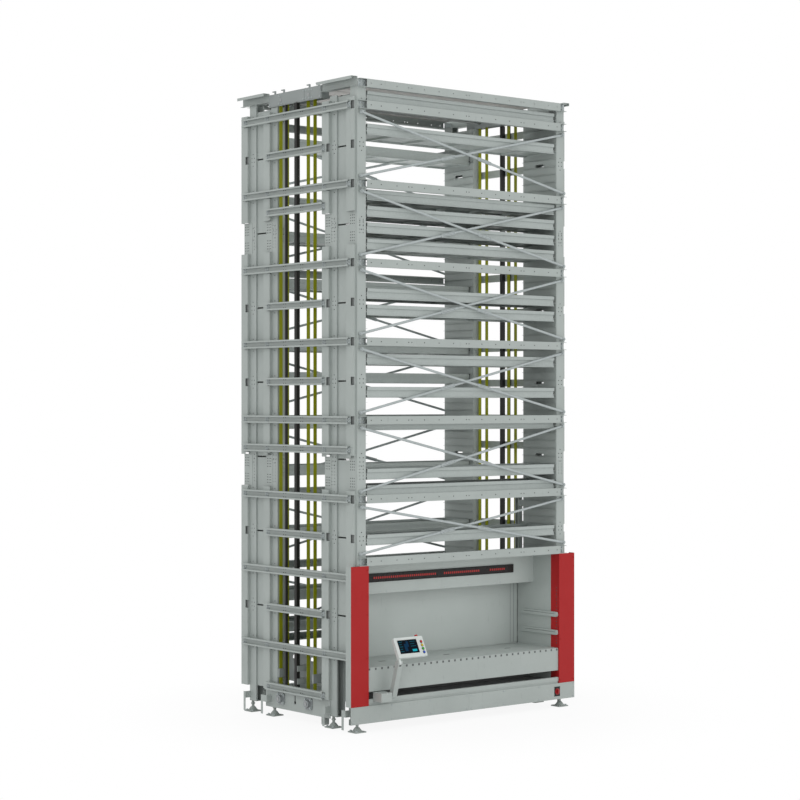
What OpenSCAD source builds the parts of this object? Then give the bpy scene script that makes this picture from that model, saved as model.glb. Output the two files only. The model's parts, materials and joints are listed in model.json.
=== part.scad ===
// Vertical lift module: two columns of trays, front and rear, with a lift
// shaft between them, shown with its outer cladding off.
// X to the right, Y to the rear, Z up; the origin is on the floor, in the
// middle of the box around the whole machine. Millimetres.

/* [Frame] */
// Depth over the front and rear beams
frame_d = 2360; // [2200:10:2900]
// Drop of the highest beam level below the uprights' top
level_drop = 174; // [160:1:190]
// Height from one beam level to the next
beam_pitch = 950; // [900:5:980]
// Number of beam levels
levels = 8; // [8:1:8]
// Clear width between the left and right uprights
clear_w = 3160; // [3100:10:3200]

/* [Uprights] */
// Width of an upright's face
upright_w = 130; // [100:1:140]
// Depth of an upright
upright_d = 140; // [120:1:150]
// Sheet of an upright
upright_t = 4; // [2:0.5:6]
// Lip of an upright
upright_lip = 22; // [12:1:30]
// Height of an upright's top
upright_top = 7780; // [7740:1:7850]
// Height of an upright's lower end
upright_foot = 150; // [120:1:200]
// Front inner uprights' face from the middle
shaft_fore = 580; // [560:1:600]
// Rear inner uprights' face from the middle
shaft_rear = 515; // [512:1:540]
// Bolt holes
bolt_hole = 13; // [8:1:18]
// Rise of the outer holes in a group of six
group_rise = 76; // [60:1:90]
// Half width of a group
group_half = 26; // [18:1:34]

/* [Stiffeners] */
// Width of a stiffener's outer face
stiff_d = 138; // [120:1:150]
// Reach of a stiffener beyond the uprights
stiff_w = 41; // [30:1:60]
// Sheet of a stiffener
stiff_t = 3; // [2:0.5:5]
// Lip of a stiffener, on the upright
stiff_lip = 18; // [10:1:26]
// Overlap of each stiffener on its upright, from the front row to the rear row
stiff_laps = [112, 29, 24, 6];
// Lower splice
splice_low = 3108; // [3060:1:3160]
// Upper splice
splice_high = 6077; // [6030:1:6120]
// Open height at a splice
splice_gap = 400; // [300:5:440]
// Gap between the bottom side plates and the stiffeners
stiff_gap = 4; // [2:1:20]
// Drop of the stiffeners below the uprights' top
stiff_drop = 130; // [110:1:150]
// Slot height at each level
slot_h = 100; // [70:1:110]
// Slot width on the outer face
slot_w = 48; // [30:1:60]
// Slot depth on the front wall
slot_in = 20; // [10:1:30]

/* [Beams] */
// Height of a cross beam
beam_h = 100; // [80:1:110]
// Depth of a cross beam
beam_d = 55; // [45:1:70]
// Sheet of the beams
beam_t = 3; // [2:0.5:5]
// Lip of a cross beam
beam_lip = 18; // [10:1:26]
// Length of the web left out at each end
beam_notch = 106; // [60:1:130]
// Top edge of the beam over the bay
bay_beam = 2104; // [2050:1:2150]
// Rise of the roof beams over the uprights' top
roof_rise = 87; // [80:1:95]
// Depth of a side beam
side_d = 41; // [30:1:50]
// Lip of a side beam
side_lip = 20; // [12:1:26]
// Height of a side beam
side_h = 95; // [80:1:110]
// Reach of the long side beams beyond the corner stiffeners' middle
side_over = 12; // [0:1:40]
// Distance of the short side beams' ends from the inner stiffeners' middle
side_in = 16; // [0:1:40]
// Top edge of the lowest side beams
foot_beam = 431; // [420:1:440]

/* [Braces] */
// Tie rod diameter
rod_d = 22; // [14:1:23]
// First rod's distance from the uprights' face
rod_off = 14; // [12:1:16]
// Gap between crossing rods
rod_gap = 2; // [1:0.5:3]
// Eye at a rod's end
eye_d = 42; // [36:1:48]
// Turnbuckle length
buckle_l = 220; // [150:5:300]
// Distance of the turnbuckles from the crossing
buckle_off = 300; // [250:5:400]
// Rod ends in from the outer edge of the uprights
rod_in = 40; // [25:1:70]

/* [Trays] */
// Height from one tray place to the next
tray_pitch = 198.6; // [190:0.1:210]
// Drop of the highest place's top edge below the uprights' top
tray_drop = 44; // [30:1:60]
// Height of a tray
tray_h = 130; // [100:1:150]
// Depth of a tray
tray_d = 540; // [500:5:570]
// Sheet of a tray
tray_t = 3; // [2:0.5:4]
// Seam between the sheets of a tray
tray_seam = 0.4; // [0.3:0.1:0.8]
// Gap between a tray's side wall and the side plate
tray_gap = 31; // [28:1:40]
// Height of the rim
rim_h = 45; // [30:1:55]
// Width of the rim
rim_d = 28; // [20:1:36]
// Overhang of the rim
rim_out = 10; // [4:1:14]
// Height of the floor over the lower edge
floor_rise = 22; // [14:1:30]
// Width of a tray's ear, which rides on a ledge
ear_w = 26; // [22:1:30]
// Sheet of the ear
ear_t = 4; // [3:0.5:6]
// Height of the ear over the lower edge
ear_rise = 40; // [30:1:60]
// Front column's used places, from the top
front_places = [0, 2, 6, 7, 8, 9, 12, 13, 16, 18, 20, 23, 24, 27];
// Rear column's used places, from the top
rear_places = [2, 8, 11, 15, 17, 20, 23, 27, 31, 33];

/* [Side plates] */
// Sheet of the side plates
plate_t = 3; // [2:0.5:4]
// Width of a ledge
ledge_w = 24; // [20:1:28]
// Ledges per tray place
ledges_per_place = 2; // [1:1:3]
// Gap between a ledge and the ear on it
seat_gap = 0.5; // [0.3:0.1:0.9]
// Drop of the side plates' top below the uprights' top
plate_drop = 80; // [74:1:100]
// Lower end of the rear side plates
plate_foot = 340; // [300:1:400]
// Slit length
slit_l = 150; // [100:1:200]
// Slit height
slit_h = 36; // [20:1:45]
// Reach of the front plates into the shaft
front_reach_in = 90; // [60:1:110]

/* [Lift] */
// Lift centre behind the middle of the shaft
lift_y = 130; // [120:1:132]
// Belts' middle in from the uprights' outer face
belt_in = 35; // [33:1:38]
// Belt width
belt_w = 50; // [40:1:60]
// Belt thickness
belt_t = 5; // [3:0.5:8]
// Half distance between the front and the rear pulleys
pulley_half = 291; // [280:1:300]
// Pulley radius
pulley_r = 67; // [60:0.5:72]
// Gap between a pulley and its belt
belt_gap = 0.5; // [0.3:0.1:1]
// Height of the lower shafts
low_axis = 242; // [220:1:260]
// Gap between a pulley's flange and the drive box's top
axis_gap = 8; // [4:1:12]
// Cross shaft diameter
shaft_d = 40; // [30:1:44]
// Gap of a shaft in its bearing
bearing_gap = 0.08; // [0.05:0.01:0.1]
// Thick guide post
post_w = 50; // [40:1:56]
// Thin guide post
thin_w = 28; // [24:1:32]
// Gap between a thick guide post and the side beams
post_gap = 4; // [2:1:8]
// Gap at the ends of the guide posts
post_seat = 0.5; // [0.3:0.1:0.9]
// Thick posts' offset from the lift centre
post_off = 48; // [40:1:55]
// Thin posts' offset from the lift centre
thin_off = 181; // [165:1:190]
// Lower edge of the carried tray with the lift at rest
seat_z = 700; // [660:1:760]
// Carriage side plate
cheek_t = 8; // [5:1:12]
// Half depth of the carriage
cheek_half = 380; // [378:1:384]
// Rise of the cheeks over a tray's lower edge
cheek_up = 120; // [100:1:140]
// Drop of the cheeks below it
cheek_down = 240; // [220:1:260]
// Gap between the trays' ears and the cheeks
cheek_gap = 14; // [8:1:18]
// Cross tube of the carriage
tube_w = 80; // [60:1:90]
// Drop of the cross tubes below a tray's lower edge
tube_drop = 70; // [62:1:80]
// Gap between a guide shoe or clamp and what it holds
shoe_gap = 0.5; // [0.3:0.1:0.9]
// Wall of a shoe or clamp
shoe_t = 14; // [8:1:16]
// Height of a shoe
shoe_h = 70; // [50:1:80]
// Drop of the upper shoes below a tray's lower edge
shoe_drop = 80; // [75:1:100]
// Height of a belt clamp
clamp_h = 110; // [80:1:130]
// Drop of the belt clamps below a tray's lower edge
clamp_drop = 200; // [180:1:220]

/* [Drive boxes and roof] */
// Rise of the drive boxes over the uprights' top
box_rise = 90; // [86:1:110]
// Drop of the drive boxes below the uprights' top
box_drop = 70; // [60:1:72]
// Half length of a drive box
box_half = 558; // [530:1:570]
// Reach of the drive boxes beyond the uprights
box_out = 15; // [8:1:30]
// Sheet of the boxes and rails
box_t = 3; // [2:0.5:5]
// Lifting hook's height
hook_h = 45; // [30:1:50]
// Lifting hook's reach
hook_l = 44; // [30:1:60]
// Lifting hook's width
hook_w = 18; // [12:1:24]
// Lifting hooks from the lift centre
hook_places = [-460, -270, 270, 460];
// Rise of the roof rails over the uprights' top
rail_rise = 112; // [100:1:120]
// Gap between the roof rails and what they pass
rail_gap = 1; // [0.5:0.1:2]
// Reach of a roof rail's top beyond the uprights
rail_out = 95; // [80:1:110]
// Reach of a roof rail's foot beyond the uprights
rail_foot = 44; // [30:1:60]
// Seat of a roof rail on the uprights
rail_seat = 60; // [40:1:90]
// Lip of a roof rail
rail_lip = 36; // [20:1:44]
// Reach of the roof rails beyond the rear beams
rail_rear = 95; // [40:1:120]
// Reach of the roof rails beyond the front uprights
rail_front = 5; // [0:1:40]

/* [Base] */
// Lower edge of the base panel
base_low = 110; // [90:1:130]
// Upper edge of the base panel
base_high = 318; // [300:1:335]
// Reach of the base panel beyond the side beams
cover_out = 58; // [40:1:80]
// Seam in the base panel
seam = 2; // [1:0.5:4]
// Front rail's lower edge
front_rail_z = 345; // [338:1:360]
// Front rail's height
front_rail_h = 50; // [40:1:60]
// Front rail's depth
front_rail_d = 40; // [30:1:50]
// Depth of the floor sheet under the table
floor_d = 520; // [400:5:560]
// Turned-up rear edge of the floor sheet
floor_h = 120; // [60:1:130]
// Gap between the floor sheet and the bay's walls
floor_gap = 1; // [0.5:0.1:2]
// Foot plate
foot_w = 160; // [130:1:180]
// Feet in from the uprights' outer face
foot_in = 32; // [30:1:65]
// Feet in from each upright's rear edge, from the front row to the rear row
foot_laps = [95, 35, 35, 25];
// Bearing unit
hub_d = 150; // [120:1:160]
// Flange of a bearing unit
hub_t = 14; // [10:1:18]
// Housing of an upper bearing unit over its flange
hub_boss = 10; // [6:1:12]
// Housing of a lower bearing unit over its flange
hub_long = 38; // [30:1:46]
// Gap between an upper bearing unit and the pulley
hub_gap = 9; // [4:1:12]
// End of a shaft outside its bearing
shaft_end = 6; // [3:1:10]
// Sheet of the bottom side plates
bottom_t = 8; // [4:1:10]
// Set-back of the bottom side plates' ends from the inner stiffeners' edges
bottom_in = 10; // [4:1:20]
// Cladding legs from the middle, front row to rear row
leg_places = [-940, -555, 745, 1130];
// Struts of the cladding legs in from each upright's rear edge
leg_lap = 15; // [8:1:25]
// Width of a cladding leg
leg_w = 40; // [30:1:60]
// Sheet of a cladding leg
leg_t = 4; // [3:0.5:6]
// Top of a cladding leg
leg_high = 262; // [240:1:300]
// Lower end of a cladding leg
leg_low = 20; // [5:1:40]
// Height of a leg's arm
leg_arm = 84; // [60:1:110]

/* [Bay] */
// Lower end of the red covers
cover_low = 320; // [318:1:340]
// Depth of a cover's inner side
cover_d = 158; // [120:1:200]
// Sheet of the covers and bay panels
panel_t = 3; // [2:0.5:4]
// Lower rail's height
rail_low = 975; // [900:1:1020]
// Upper rail's height
rail_high = 1210; // [1150:1:1260]
// Rail height
rail_h = 64; // [40:1:80]
// Rail width
rail_w = 26; // [16:1:36]
// Height of the table
table_z = 775; // [765:1:790]
// Lower edge of the apron
apron_low = 484; // [478:1:520]
// Spacing of the apron's holes
apron_pitch = 97; // [80:1:120]
// Apron hole
apron_hole = 20; // [12:1:26]
// Fascia's distance in front of the middle
fascia_y = 685; // [670:1:720]
// Lower edge of the fascia
fascia_low = 1605; // [1560:1:1650]
// Display length
led_l = 2406; // [2000:1:2600]
// Display height
led_h = 88; // [60:1:110]
// Lower edge of the display
led_z = 1758; // [1720:1:1800]
// Shutter's distance in front of the middle
shutter_y = 360; // [340:1:380]
// Shutter height
shutter_h = 980; // [940:1:990]
// Shutter thickness
shutter_t = 30; // [20:1:40]
// Gap between the shutter and the table
shutter_gap = 10; // [6:1:20]
// Lip of a shutter post
shutter_lip = 12; // [8:1:14]
// Sheet of a shutter post
post_t = 4; // [2:0.5:5]
// Top of the shutter posts
shutter_top = 2770; // [2760:1:2830]
// Shutter post
shutter_post = 60; // [40:1:64]
// Gap between the shutter's edge and the bay's walls
shutter_side = 4; // [3:0.5:8]
// Height of a shutter post's bracket
bracket_h = 90; // [60:1:120]
// Reach of a shutter post's bracket along the wall
bracket_l = 60; // [40:1:100]
// Light curtain hole
curtain_hole = 12; // [8:1:16]
// Light curtain spacing
curtain_pitch = 40; // [30:1:50]

/* [Console] */
// Console base size
cb_w = 164; // [140:1:180]
// Console base height
cb_h = 108; // [90:1:120]
// Left face of the console base from the middle
cb_x = 1500; // [1480:1:1520]
// Lower face of the console base
cb_z = 368; // [350:1:372]
// Arm width
arm_w = 70; // [60:1:80]
// Arm thickness
arm_t = 64; // [50:1:70]
// Arm pivot's height in the base
arm_z = 422; // [418:1:430]
// Arm length between its pivots
arm_l = 430; // [400:1:460]
// Lean of the arm
arm_lean = 16; // [5:1:25]
// Pivot pins
pin_d = 30; // [20:1:36]
// Head width
head_w = 450; // [420:1:480]
// Head height
head_h = 258; // [240:1:280]
// Head thickness
head_t = 45; // [35:1:60]
// Head corner radius
head_r = 16; // [8:1:24]
// Tilt of the head
head_tilt = 27; // [10:1:40]
// Lower edge of the head over its pivot
head_rise = 40; // [36:1:50]
// Front of the head before its pivot
head_fore = 50; // [46:1:60]
// Screen width
screen_w = 290; // [240:1:300]
// Screen height
screen_h = 165; // [140:1:175]
// Button diameter
button_d = 28; // [20:1:32]
// Button spacing
button_pitch = 45; // [40:1:48]
// Button gap in its hole
button_gap = 0.5; // [0.3:0.1:1]
// Travel of a button
button_travel = 4; // [3:0.5:6]
// Emergency stop cap
stop_d = 42; // [32:1:44]
// Main switch plate's width
switch_w = 100; // [90:1:120]
// Main switch plate's height
switch_h = 126; // [110:1:150]
// Main switch plate's thickness
switch_t = 3; // [2:0.5:5]
// Main switch's handle
switch_d = 54; // [40:1:70]
// Main switch in from the base panel's end
switch_in = 312; // [250:1:400]

/* [Hidden] */
$fn = 48;
e = 1;                                   // overshoot of a cut
in_x = clear_w / 2;                      // uprights' inner flange
out_x = in_x + upright_w;                // uprights' outer flange
web_x = out_x + stiff_w;                 // stiffeners' outer face
side_x = web_x + side_d;                 // side beams' outer edge
front_y = frame_d / 2;                   // beams' outer face from the middle
face_y = front_y - beam_d;               // corner uprights' outer face
// rear edges of the uprights and middles of their stiffeners, from the front row to the rear row
rear_edges = [-face_y + upright_d, -shaft_fore, shaft_rear + upright_d, face_y];
stiff_y = [for (i = [0 : 3]) rear_edges[i] - stiff_laps[i] + stiff_d / 2];
top_level = upright_top - level_drop;    // top edge of the highest beam level
roof_beam = upright_top + roof_rise;     // top edge of the roof beams
tray_top = upright_top - tray_drop;      // top edge of the highest place
plate_top = upright_top - plate_drop;    // upper end of the side plates
stiff_top = upright_top - stiff_drop;    // upper end of the stiffeners
bottom_top = foot_beam - side_h;         // bottom side plates' upper edge
stiff_foot = bottom_top + stiff_gap;     // lower end of the stiffeners
wall_x = in_x - plate_t;                 // side plates' inner face
tray_half = wall_x - tray_gap;           // trays' outer side
ear_x = tray_half + ear_w;               // ears' outer edge
tray_front = front_y - beam_d - 15;      // trays' front edge from the middle
tray_rear = tray_front - tray_d;         // trays' inner edge from the middle
bay_top = bay_beam - beam_h;             // covers and bay end below this beam
upper_z = tray_top - tray_h;             // lower edge of the highest tray
cheek_x = ear_x + cheek_gap;             // cheeks' inner face
strand = pulley_r + belt_gap + belt_t / 2;
belt_x = out_x - belt_in;                // belts' middle
flange_t = 4;                            // pulleys' flanges
flange_r = pulley_r + belt_t + 4;
pulley_x = belt_w / 2 + 3 + flange_t;    // half length of a pulley
post_line = web_x - post_gap - post_w / 2;
box_top = upright_top + box_rise;        // top of the drive boxes
box_low = upright_top - box_drop;        // lower edge of the drive boxes
box_x = out_x + box_out;                 // their outer face
box_in = belt_x - pulley_x - hub_gap - hub_t - hub_boss - box_t;
high_axis = box_top - box_t - axis_gap - flange_r;
rail_top = upright_top + rail_rise;      // top of the roof rails
rail_x = out_x + rail_gap;               // their web's inner face
table_rear = shutter_y + shutter_t / 2 + 4;
post_x = in_x + post_t + shutter_post;   // shutter posts' inside
shutter_half = wall_x - shutter_side;    // shutter's half width
apron_y = front_y - 20;                  // apron's face
base_tube = 60;                          // bottom tubes
base_tube_y = face_y + 15;               // their outer face
rail_y = front_y - 15;                   // front rail's face
plate_low_x = out_x + bottom_t;          // bottom side plates' outer face
base_half = side_x + cover_out;          // half width of the base panel
leg_x = side_x;                          // cladding legs' outer face
switch_x = base_half - switch_in;
switch_z = (base_low + base_high) / 2;
cb_y = rail_y;                           // back of the console base
arm_x = -cb_x + cb_w + 21 + arm_w / 2;   // arm's middle
arm_y = -cb_y - cb_w + 55;               // arm's lower pivot
tip_y = arm_y - arm_l * sin(arm_lean);   // head's pivot
tip_z = arm_z + arm_l * cos(arm_lean);
head_x = arm_x - 20;                     // head's left edge
reach_fore = -tip_y + head_fore * cos(head_tilt) - head_rise * sin(head_tilt);
reach_rear = front_y + rail_rear;
origin_y = (reach_fore - reach_rear) / 2;

steel = [0.66, 0.70, 0.69];
dark = [0.50, 0.53, 0.53];
red = [0.66, 0.19, 0.19];
black = [0.12, 0.12, 0.12];
olive = [0.51, 0.53, 0.07];

// A folded sheet: the path is its outer face, the sheet lies to its left.
function unit(v) = v / norm(v);
function left(v) = [-v[1], v[0]];
function fold_off(p, i) =
  let (n = len(p),
       a = left(unit(p[max(i, 1)] - p[max(i, 1) - 1])),
       b = left(unit(p[min(i, n - 2) + 1] - p[min(i, n - 2)])))
  (a + b) / (1 + a * b);
function fold(p, t) =
  concat(p, [for (i = [len(p) - 1 : -1 : 0]) p[i] + t * fold_off(p, i)]);

module sheet(path, t) { polygon(fold(path, t)); }
// a profile in Y and Z drawn out along X, centred
module along_x(l) { translate([-l / 2, 0, 0]) rotate([90, 0, 90]) linear_extrude(l) children(); }
// a profile in X and Z drawn out along Y, from y0 to y1
module along_y(y0, y1) { translate([0, y1, 0]) rotate([90, 0, 0]) linear_extrude(y1 - y0) children(); }
// a profile in X and Y drawn out along Z, from z0 to z1
module along_z(z0, z1) { translate([0, 0, z0]) linear_extrude(z1 - z0) children(); }
module seat() { translate([0, origin_y, 0]) children(); }
module sides() { children(); mirror([1, 0, 0]) children(); }
module ends() { children(); mirror([0, 1, 0]) children(); }
module rounded(w, h, r) {
  square([w - 2 * r, h], center = true);
  square([w, h - 2 * r], center = true);
  for (x = [-1, 1], y = [-1, 1]) translate([x * (w / 2 - r), y * (h / 2 - r)]) circle(r);
}

function level(i) = top_level - i * beam_pitch;
function half_level(i) = top_level - i * beam_pitch / 2;
function place_z(k) = tray_top - tray_h - k * tray_pitch;

// Uprights: a lipped channel, its face with groups of six bolt holes at each half
// level and a double row at each splice.
module upright(top) {
  w = upright_w; d = upright_d; l = upright_lip;
  difference() {
    along_z(upright_foot, top)
      sheet([[l, d], [0, d], [0, 0], [w, 0], [w, d], [w - l, d]], upright_t);
    for (j = [0 : 2 * levels - 1], s = [-1, 1]) {
      z = half_level(j) - beam_h / 2;
      hole(w / 2, z + s * group_rise);
      for (x = [-1, 1]) hole(w / 2 + x * group_half, z + s * group_rise / 3);
    }
    for (z = [splice_low, splice_high], r = [-2 : 2], x = [-1, 1])
      hole(w / 2 + x * group_half, z + (r + 0.5) * splice_gap / 10);
    for (z = [splice_low, splice_high], r = [-4 : 3], y = [0.3, 0.7])
      translate([-e, y * d, z + (r + 0.5) * splice_gap / 10]) rotate([0, 90, 0])
        cylinder(d = bolt_hole, h = upright_t + 2 * e, $fn = 16);
  }
}
module hole(x, z) {
  translate([x, -e, z]) rotate([-90, 0, 0])
    cylinder(d = bolt_hole, h = upright_t + 2 * e, $fn = 16);
}
module uprights() color(steel) seat() sides() {
  translate([-out_x, -face_y, 0]) upright(upright_top);
  translate([-out_x, -shaft_fore, 0]) mirror([0, 1, 0]) upright(box_low);
  translate([-out_x, shaft_rear, 0]) upright(box_low);
  translate([-out_x, face_y, 0]) mirror([0, 1, 0]) upright(upright_top);
}

// Stiffeners: lipped channels outside the uprights, in three lengths, slotted at the
// front corner.
module stiffener() {
  h = stiff_d / 2; w = stiff_w; l = stiff_lip;
  cuts = [stiff_foot, splice_low - splice_gap / 2, splice_low + splice_gap / 2,
          splice_high - splice_gap / 2, splice_high + splice_gap / 2, stiff_top];
  difference() {
    for (i = [0 : 2]) along_z(cuts[2 * i], cuts[2 * i + 1])
      sheet([[w, h - l], [w, h], [0, h], [0, -h], [w, -h], [w, -h + l]], stiff_t);
    for (j = [0 : 2 * levels - 2])
      translate([-e, -h - e, half_level(j) - beam_h / 2 - slot_h / 2])
        cube([slot_in + e, slot_w + e, slot_h]);
  }
}
module stiffeners() color(steel) seat() sides()
  for (y = stiff_y) translate([-web_x, y, 0]) stiffener();

// Cross beams: lipped channels with the web cut away at each end, where their bolts are.
module cross_beam() {
  h = beam_h; d = beam_d; l = beam_lip;
  holes = [-22, 22, 235, 470, 705, 905, 955, 1140, 1385, 1540];
  difference() {
    along_x(2 * out_x)
      sheet([[d, -h + l], [d, -h], [0, -h], [0, 0], [d, 0], [d, -l]], -beam_t);
    for (s = [-1, 1]) {
      translate([s * (out_x - beam_notch / 2), 0, -h / 2])
        cube([beam_notch + e, 2 * beam_t + e, h - 4 * beam_t], center = true);
      for (x = holes) if (x > 0 && x < out_x - beam_notch - bolt_hole)
        translate([s * x, -e, -h / 2]) rotate([-90, 0, 0])
          cylinder(d = bolt_hole, h = beam_t + 2 * e, $fn = 16);
    }
  }
}
module cross_beams() color(steel) seat() {
  for (z = concat([roof_beam], [for (i = [0 : levels - 3]) level(i)], [bay_beam]))
    translate([0, -front_y, z]) cross_beam();
  mirror([0, 1, 0])
    for (z = concat([roof_beam], [for (i = [0 : levels - 1]) level(i)]))
      translate([0, -front_y, z]) cross_beam();
}

// Side beams: lipped channels open outwards, long ones at each level, short ones between.
module side_beam(y0, y1) {
  d = side_d; h = side_h; l = side_lip;
  translate([-web_x, 0, 0]) along_y(y0, y1)
    sheet([[-d, -l], [-d, 0], [0, 0], [0, -h], [-d, -h], [-d, -h + l]], -beam_t);
}
module side_beams() color(steel) seat() sides() {
  for (z = concat([for (i = [0 : levels - 1]) level(i)], [splice_low + splice_gap / 2 + 136]))
    translate([0, 0, z]) side_beam(stiff_y[0] - side_over, stiff_y[3] + side_over);
  for (z = concat([for (j = [1, 5, 7, 11, 13]) half_level(j)],
                  [foot_beam, splice_high + splice_gap / 2 + 143]))
    translate([0, 0, z]) side_beam(stiff_y[1] + side_in, stiff_y[2] - side_in);
}

// Side plates: sheets with a ledge at every half tray place, and a slit at each half level.
function ledge_top(j) = tray_top - tray_h + ear_rise - seat_gap - j * tray_pitch / ledges_per_place;
module side_plate(y0, y1, z0) {
  n = floor((ledge_top(0) - z0 - plate_t) / (tray_pitch / ledges_per_place));
  teeth = [for (j = [n : -1 : 0]) each let (z = ledge_top(j))
    [[0, z - plate_t], [ledge_w, z - plate_t], [ledge_w, z], [0, z]]];
  difference() {
    translate([-wall_x, 0, 0]) along_y(y0, y1)
      polygon(concat([[-plate_t, z0], [0, z0]], teeth, [[0, plate_top], [-plate_t, plate_top]]));
    for (i = [0 : levels - 1]) let (z = half_level(2 * i + 1) - beam_h / 2)
      if (z - slit_h > z0)
        translate([-in_x - e, (y0 + y1 - slit_l) / 2, z - slit_h / 2])
          cube([plate_t + e, slit_l, slit_h]);
  }
}
module side_plates() color(steel) seat() sides() {
  side_plate(-face_y + upright_t, -shaft_fore + front_reach_in, bay_top);
  side_plate(shaft_rear, face_y - upright_t, plate_foot);
}

// Braces: two crossed tie rods in each bay, each with an open turnbuckle below the crossing
// and an eye at each end, on a stud in the upright.
module tie_rod(z_low, z_high, off) {
  x = out_x - rod_in;
  rise = z_high - z_low;
  l = sqrt(4 * x * x + rise * rise);
  translate([0, -face_y - off, (z_low + z_high) / 2]) rotate([0, -atan2(rise, 2 * x), 0]) {
    rotate([0, 90, 0]) {
      cylinder(d = rod_d, h = l, center = true);
      for (s = [-1, 1]) translate([0, 0, -buckle_off + s * buckle_l / 2])
        cylinder(d = 1.5 * rod_d, h = rod_d, center = true);
    }
    translate([-buckle_off, 0, 0]) difference() {
      cube([buckle_l, 0.7 * rod_d, 1.9 * rod_d], center = true);
      cube([buckle_l - 2 * rod_d, rod_d, 1.1 * rod_d], center = true);
    }
    for (s = [-1, 1]) translate([s * l / 2, 0, 0]) rotate([-90, 0, 0]) {
      cylinder(d = eye_d, h = 0.8 * rod_d, center = true);
      cylinder(d = 0.9 * rod_d, h = off);
    }
  }
}
module brace_bay(z_low, z_high) {
  tie_rod(z_low, z_high, rod_off);
  mirror([1, 0, 0]) tie_rod(z_low, z_high, rod_off + rod_d + rod_gap);
}
module braces() color(steel) seat() {
  tops = concat([for (i = [0 : levels - 3]) level(i)], [bay_beam]);
  for (i = [0 : len(tops) - 2]) brace_bay(tops[i + 1] + eye_d, tops[i] - beam_h - eye_d);
  mirror([0, 1, 0]) for (i = [0 : levels - 2])
    brace_bay(level(i + 1) + eye_d, level(i) - beam_h - eye_d);
}

// Roof rails: on the corner uprights, with a wide lipped top, cut off at the drive boxes.
module roof_rail(y0, y1, seat0, seat1) {
  along_y(y0, y1)
    sheet([[-out_x - rail_out, rail_top - rail_lip], [-out_x - rail_out, rail_top],
           [-rail_x, rail_top], [-rail_x, upright_top], [-out_x - rail_foot, upright_top]], -box_t);
  translate([-rail_x - box_t / 2, seat0, upright_top])
    cube([rail_x + box_t / 2 - out_x + rail_seat, seat1 - seat0, box_t]);
}
module roof_rails() color(steel) seat() sides() {
  y0 = lift_y - box_half - rail_gap / 2;
  y1 = lift_y + box_half + rail_gap / 2;
  roof_rail(-face_y - rail_front, y0, -face_y + rail_gap, y0);
  roof_rail(y1, reach_rear, y1, face_y - rail_gap);
}

// Drive boxes: sheet housings open below, with bores for the upper shafts and lifting hooks.
module drive_box() {
  w = box_x - box_in; h = box_top - box_low;
  translate([-box_x, lift_y - box_half, box_low]) difference() {
    cube([w, 2 * box_half, h]);
    translate([box_t, box_t, -e]) cube([w - 2 * box_t, 2 * (box_half - box_t), h - box_t + e]);
    for (s = [-1, 1]) translate([-e, box_half + s * pulley_half, high_axis - box_low])
      rotate([0, 90, 0]) cylinder(d = shaft_d + 8, h = w + 2 * e);
  }
  for (y = hook_places) translate([-box_x + hook_w, lift_y + y, box_top])
    rotate([90, 0, 90]) linear_extrude(hook_w)
      polygon([[0, -e], [-hook_w, -e], [-hook_w, hook_h], [hook_l, hook_h],
               [hook_l, hook_h - 0.7 * hook_w], [0, hook_h - 0.7 * hook_w]]);
}
module drive_boxes() color(dark) seat() sides() drive_box();

// Base: bottom tubes between the feet, the rail under the apron with the floor sheet behind
// it, the side plates that carry the lower shafts, and angle legs for the cladding.
module bottom_plate() {
  y0 = stiff_y[1] - stiff_d / 2 + bottom_in;
  y1 = stiff_y[2] + stiff_d / 2 - bottom_in;
  slot = shaft_d / 2 + 2;
  difference() {
    translate([-plate_low_x, y0, base_low]) cube([bottom_t, y1 - y0, bottom_top - base_low]);
    translate([-plate_low_x - e, lift_y, low_axis]) rotate([0, 90, 0]) {
      for (s = [-1, 1]) translate([0, s * pulley_half, 0])
        cylinder(d = shaft_d + 8, h = bottom_t + 2 * e);
      translate([slot - 2, 0, 0]) cylinder(d = 2 * slot, h = bottom_t + 2 * e);
    }
    translate([-plate_low_x - e, lift_y - slot / 2, low_axis - slot])
      cube([bottom_t + 2 * e, slot, 4 * slot]);
  }
}
module cladding_leg(i) {
  y = leg_places[i];
  y0 = rear_edges[i] - leg_lap;
  z = leg_high - leg_arm;
  translate([-leg_x, y0, z]) cube([leg_x - out_x, leg_t, leg_arm]);
  translate([-leg_x, y0, z]) cube([leg_t, y - y0, leg_arm]);
  translate([-leg_x, y - leg_w / 2, leg_low]) cube([leg_t, leg_w, leg_high - leg_low]);
}
module base_frame() color(steel) seat() {
  ends() translate([0, -base_tube_y, upright_foot + 10]) along_x(2 * in_x)
    difference() { square([base_tube, 140]); translate([4, 4]) square([base_tube - 8, 132]); }
  translate([0, -rail_y, front_rail_z]) {
    along_x(2 * wall_x)
      sheet([[front_rail_d, 0], [0, 0], [0, front_rail_h], [front_rail_d, front_rail_h]], -panel_t);
    along_x(2 * (wall_x - floor_gap))
      sheet([[front_rail_d / 2, -e], [front_rail_d + floor_d, -e], [front_rail_d + floor_d, floor_h]],
            panel_t);
  }
  sides() {
    bottom_plate();
    for (i = [0 : 3]) cladding_leg(i);
  }
}

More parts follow.
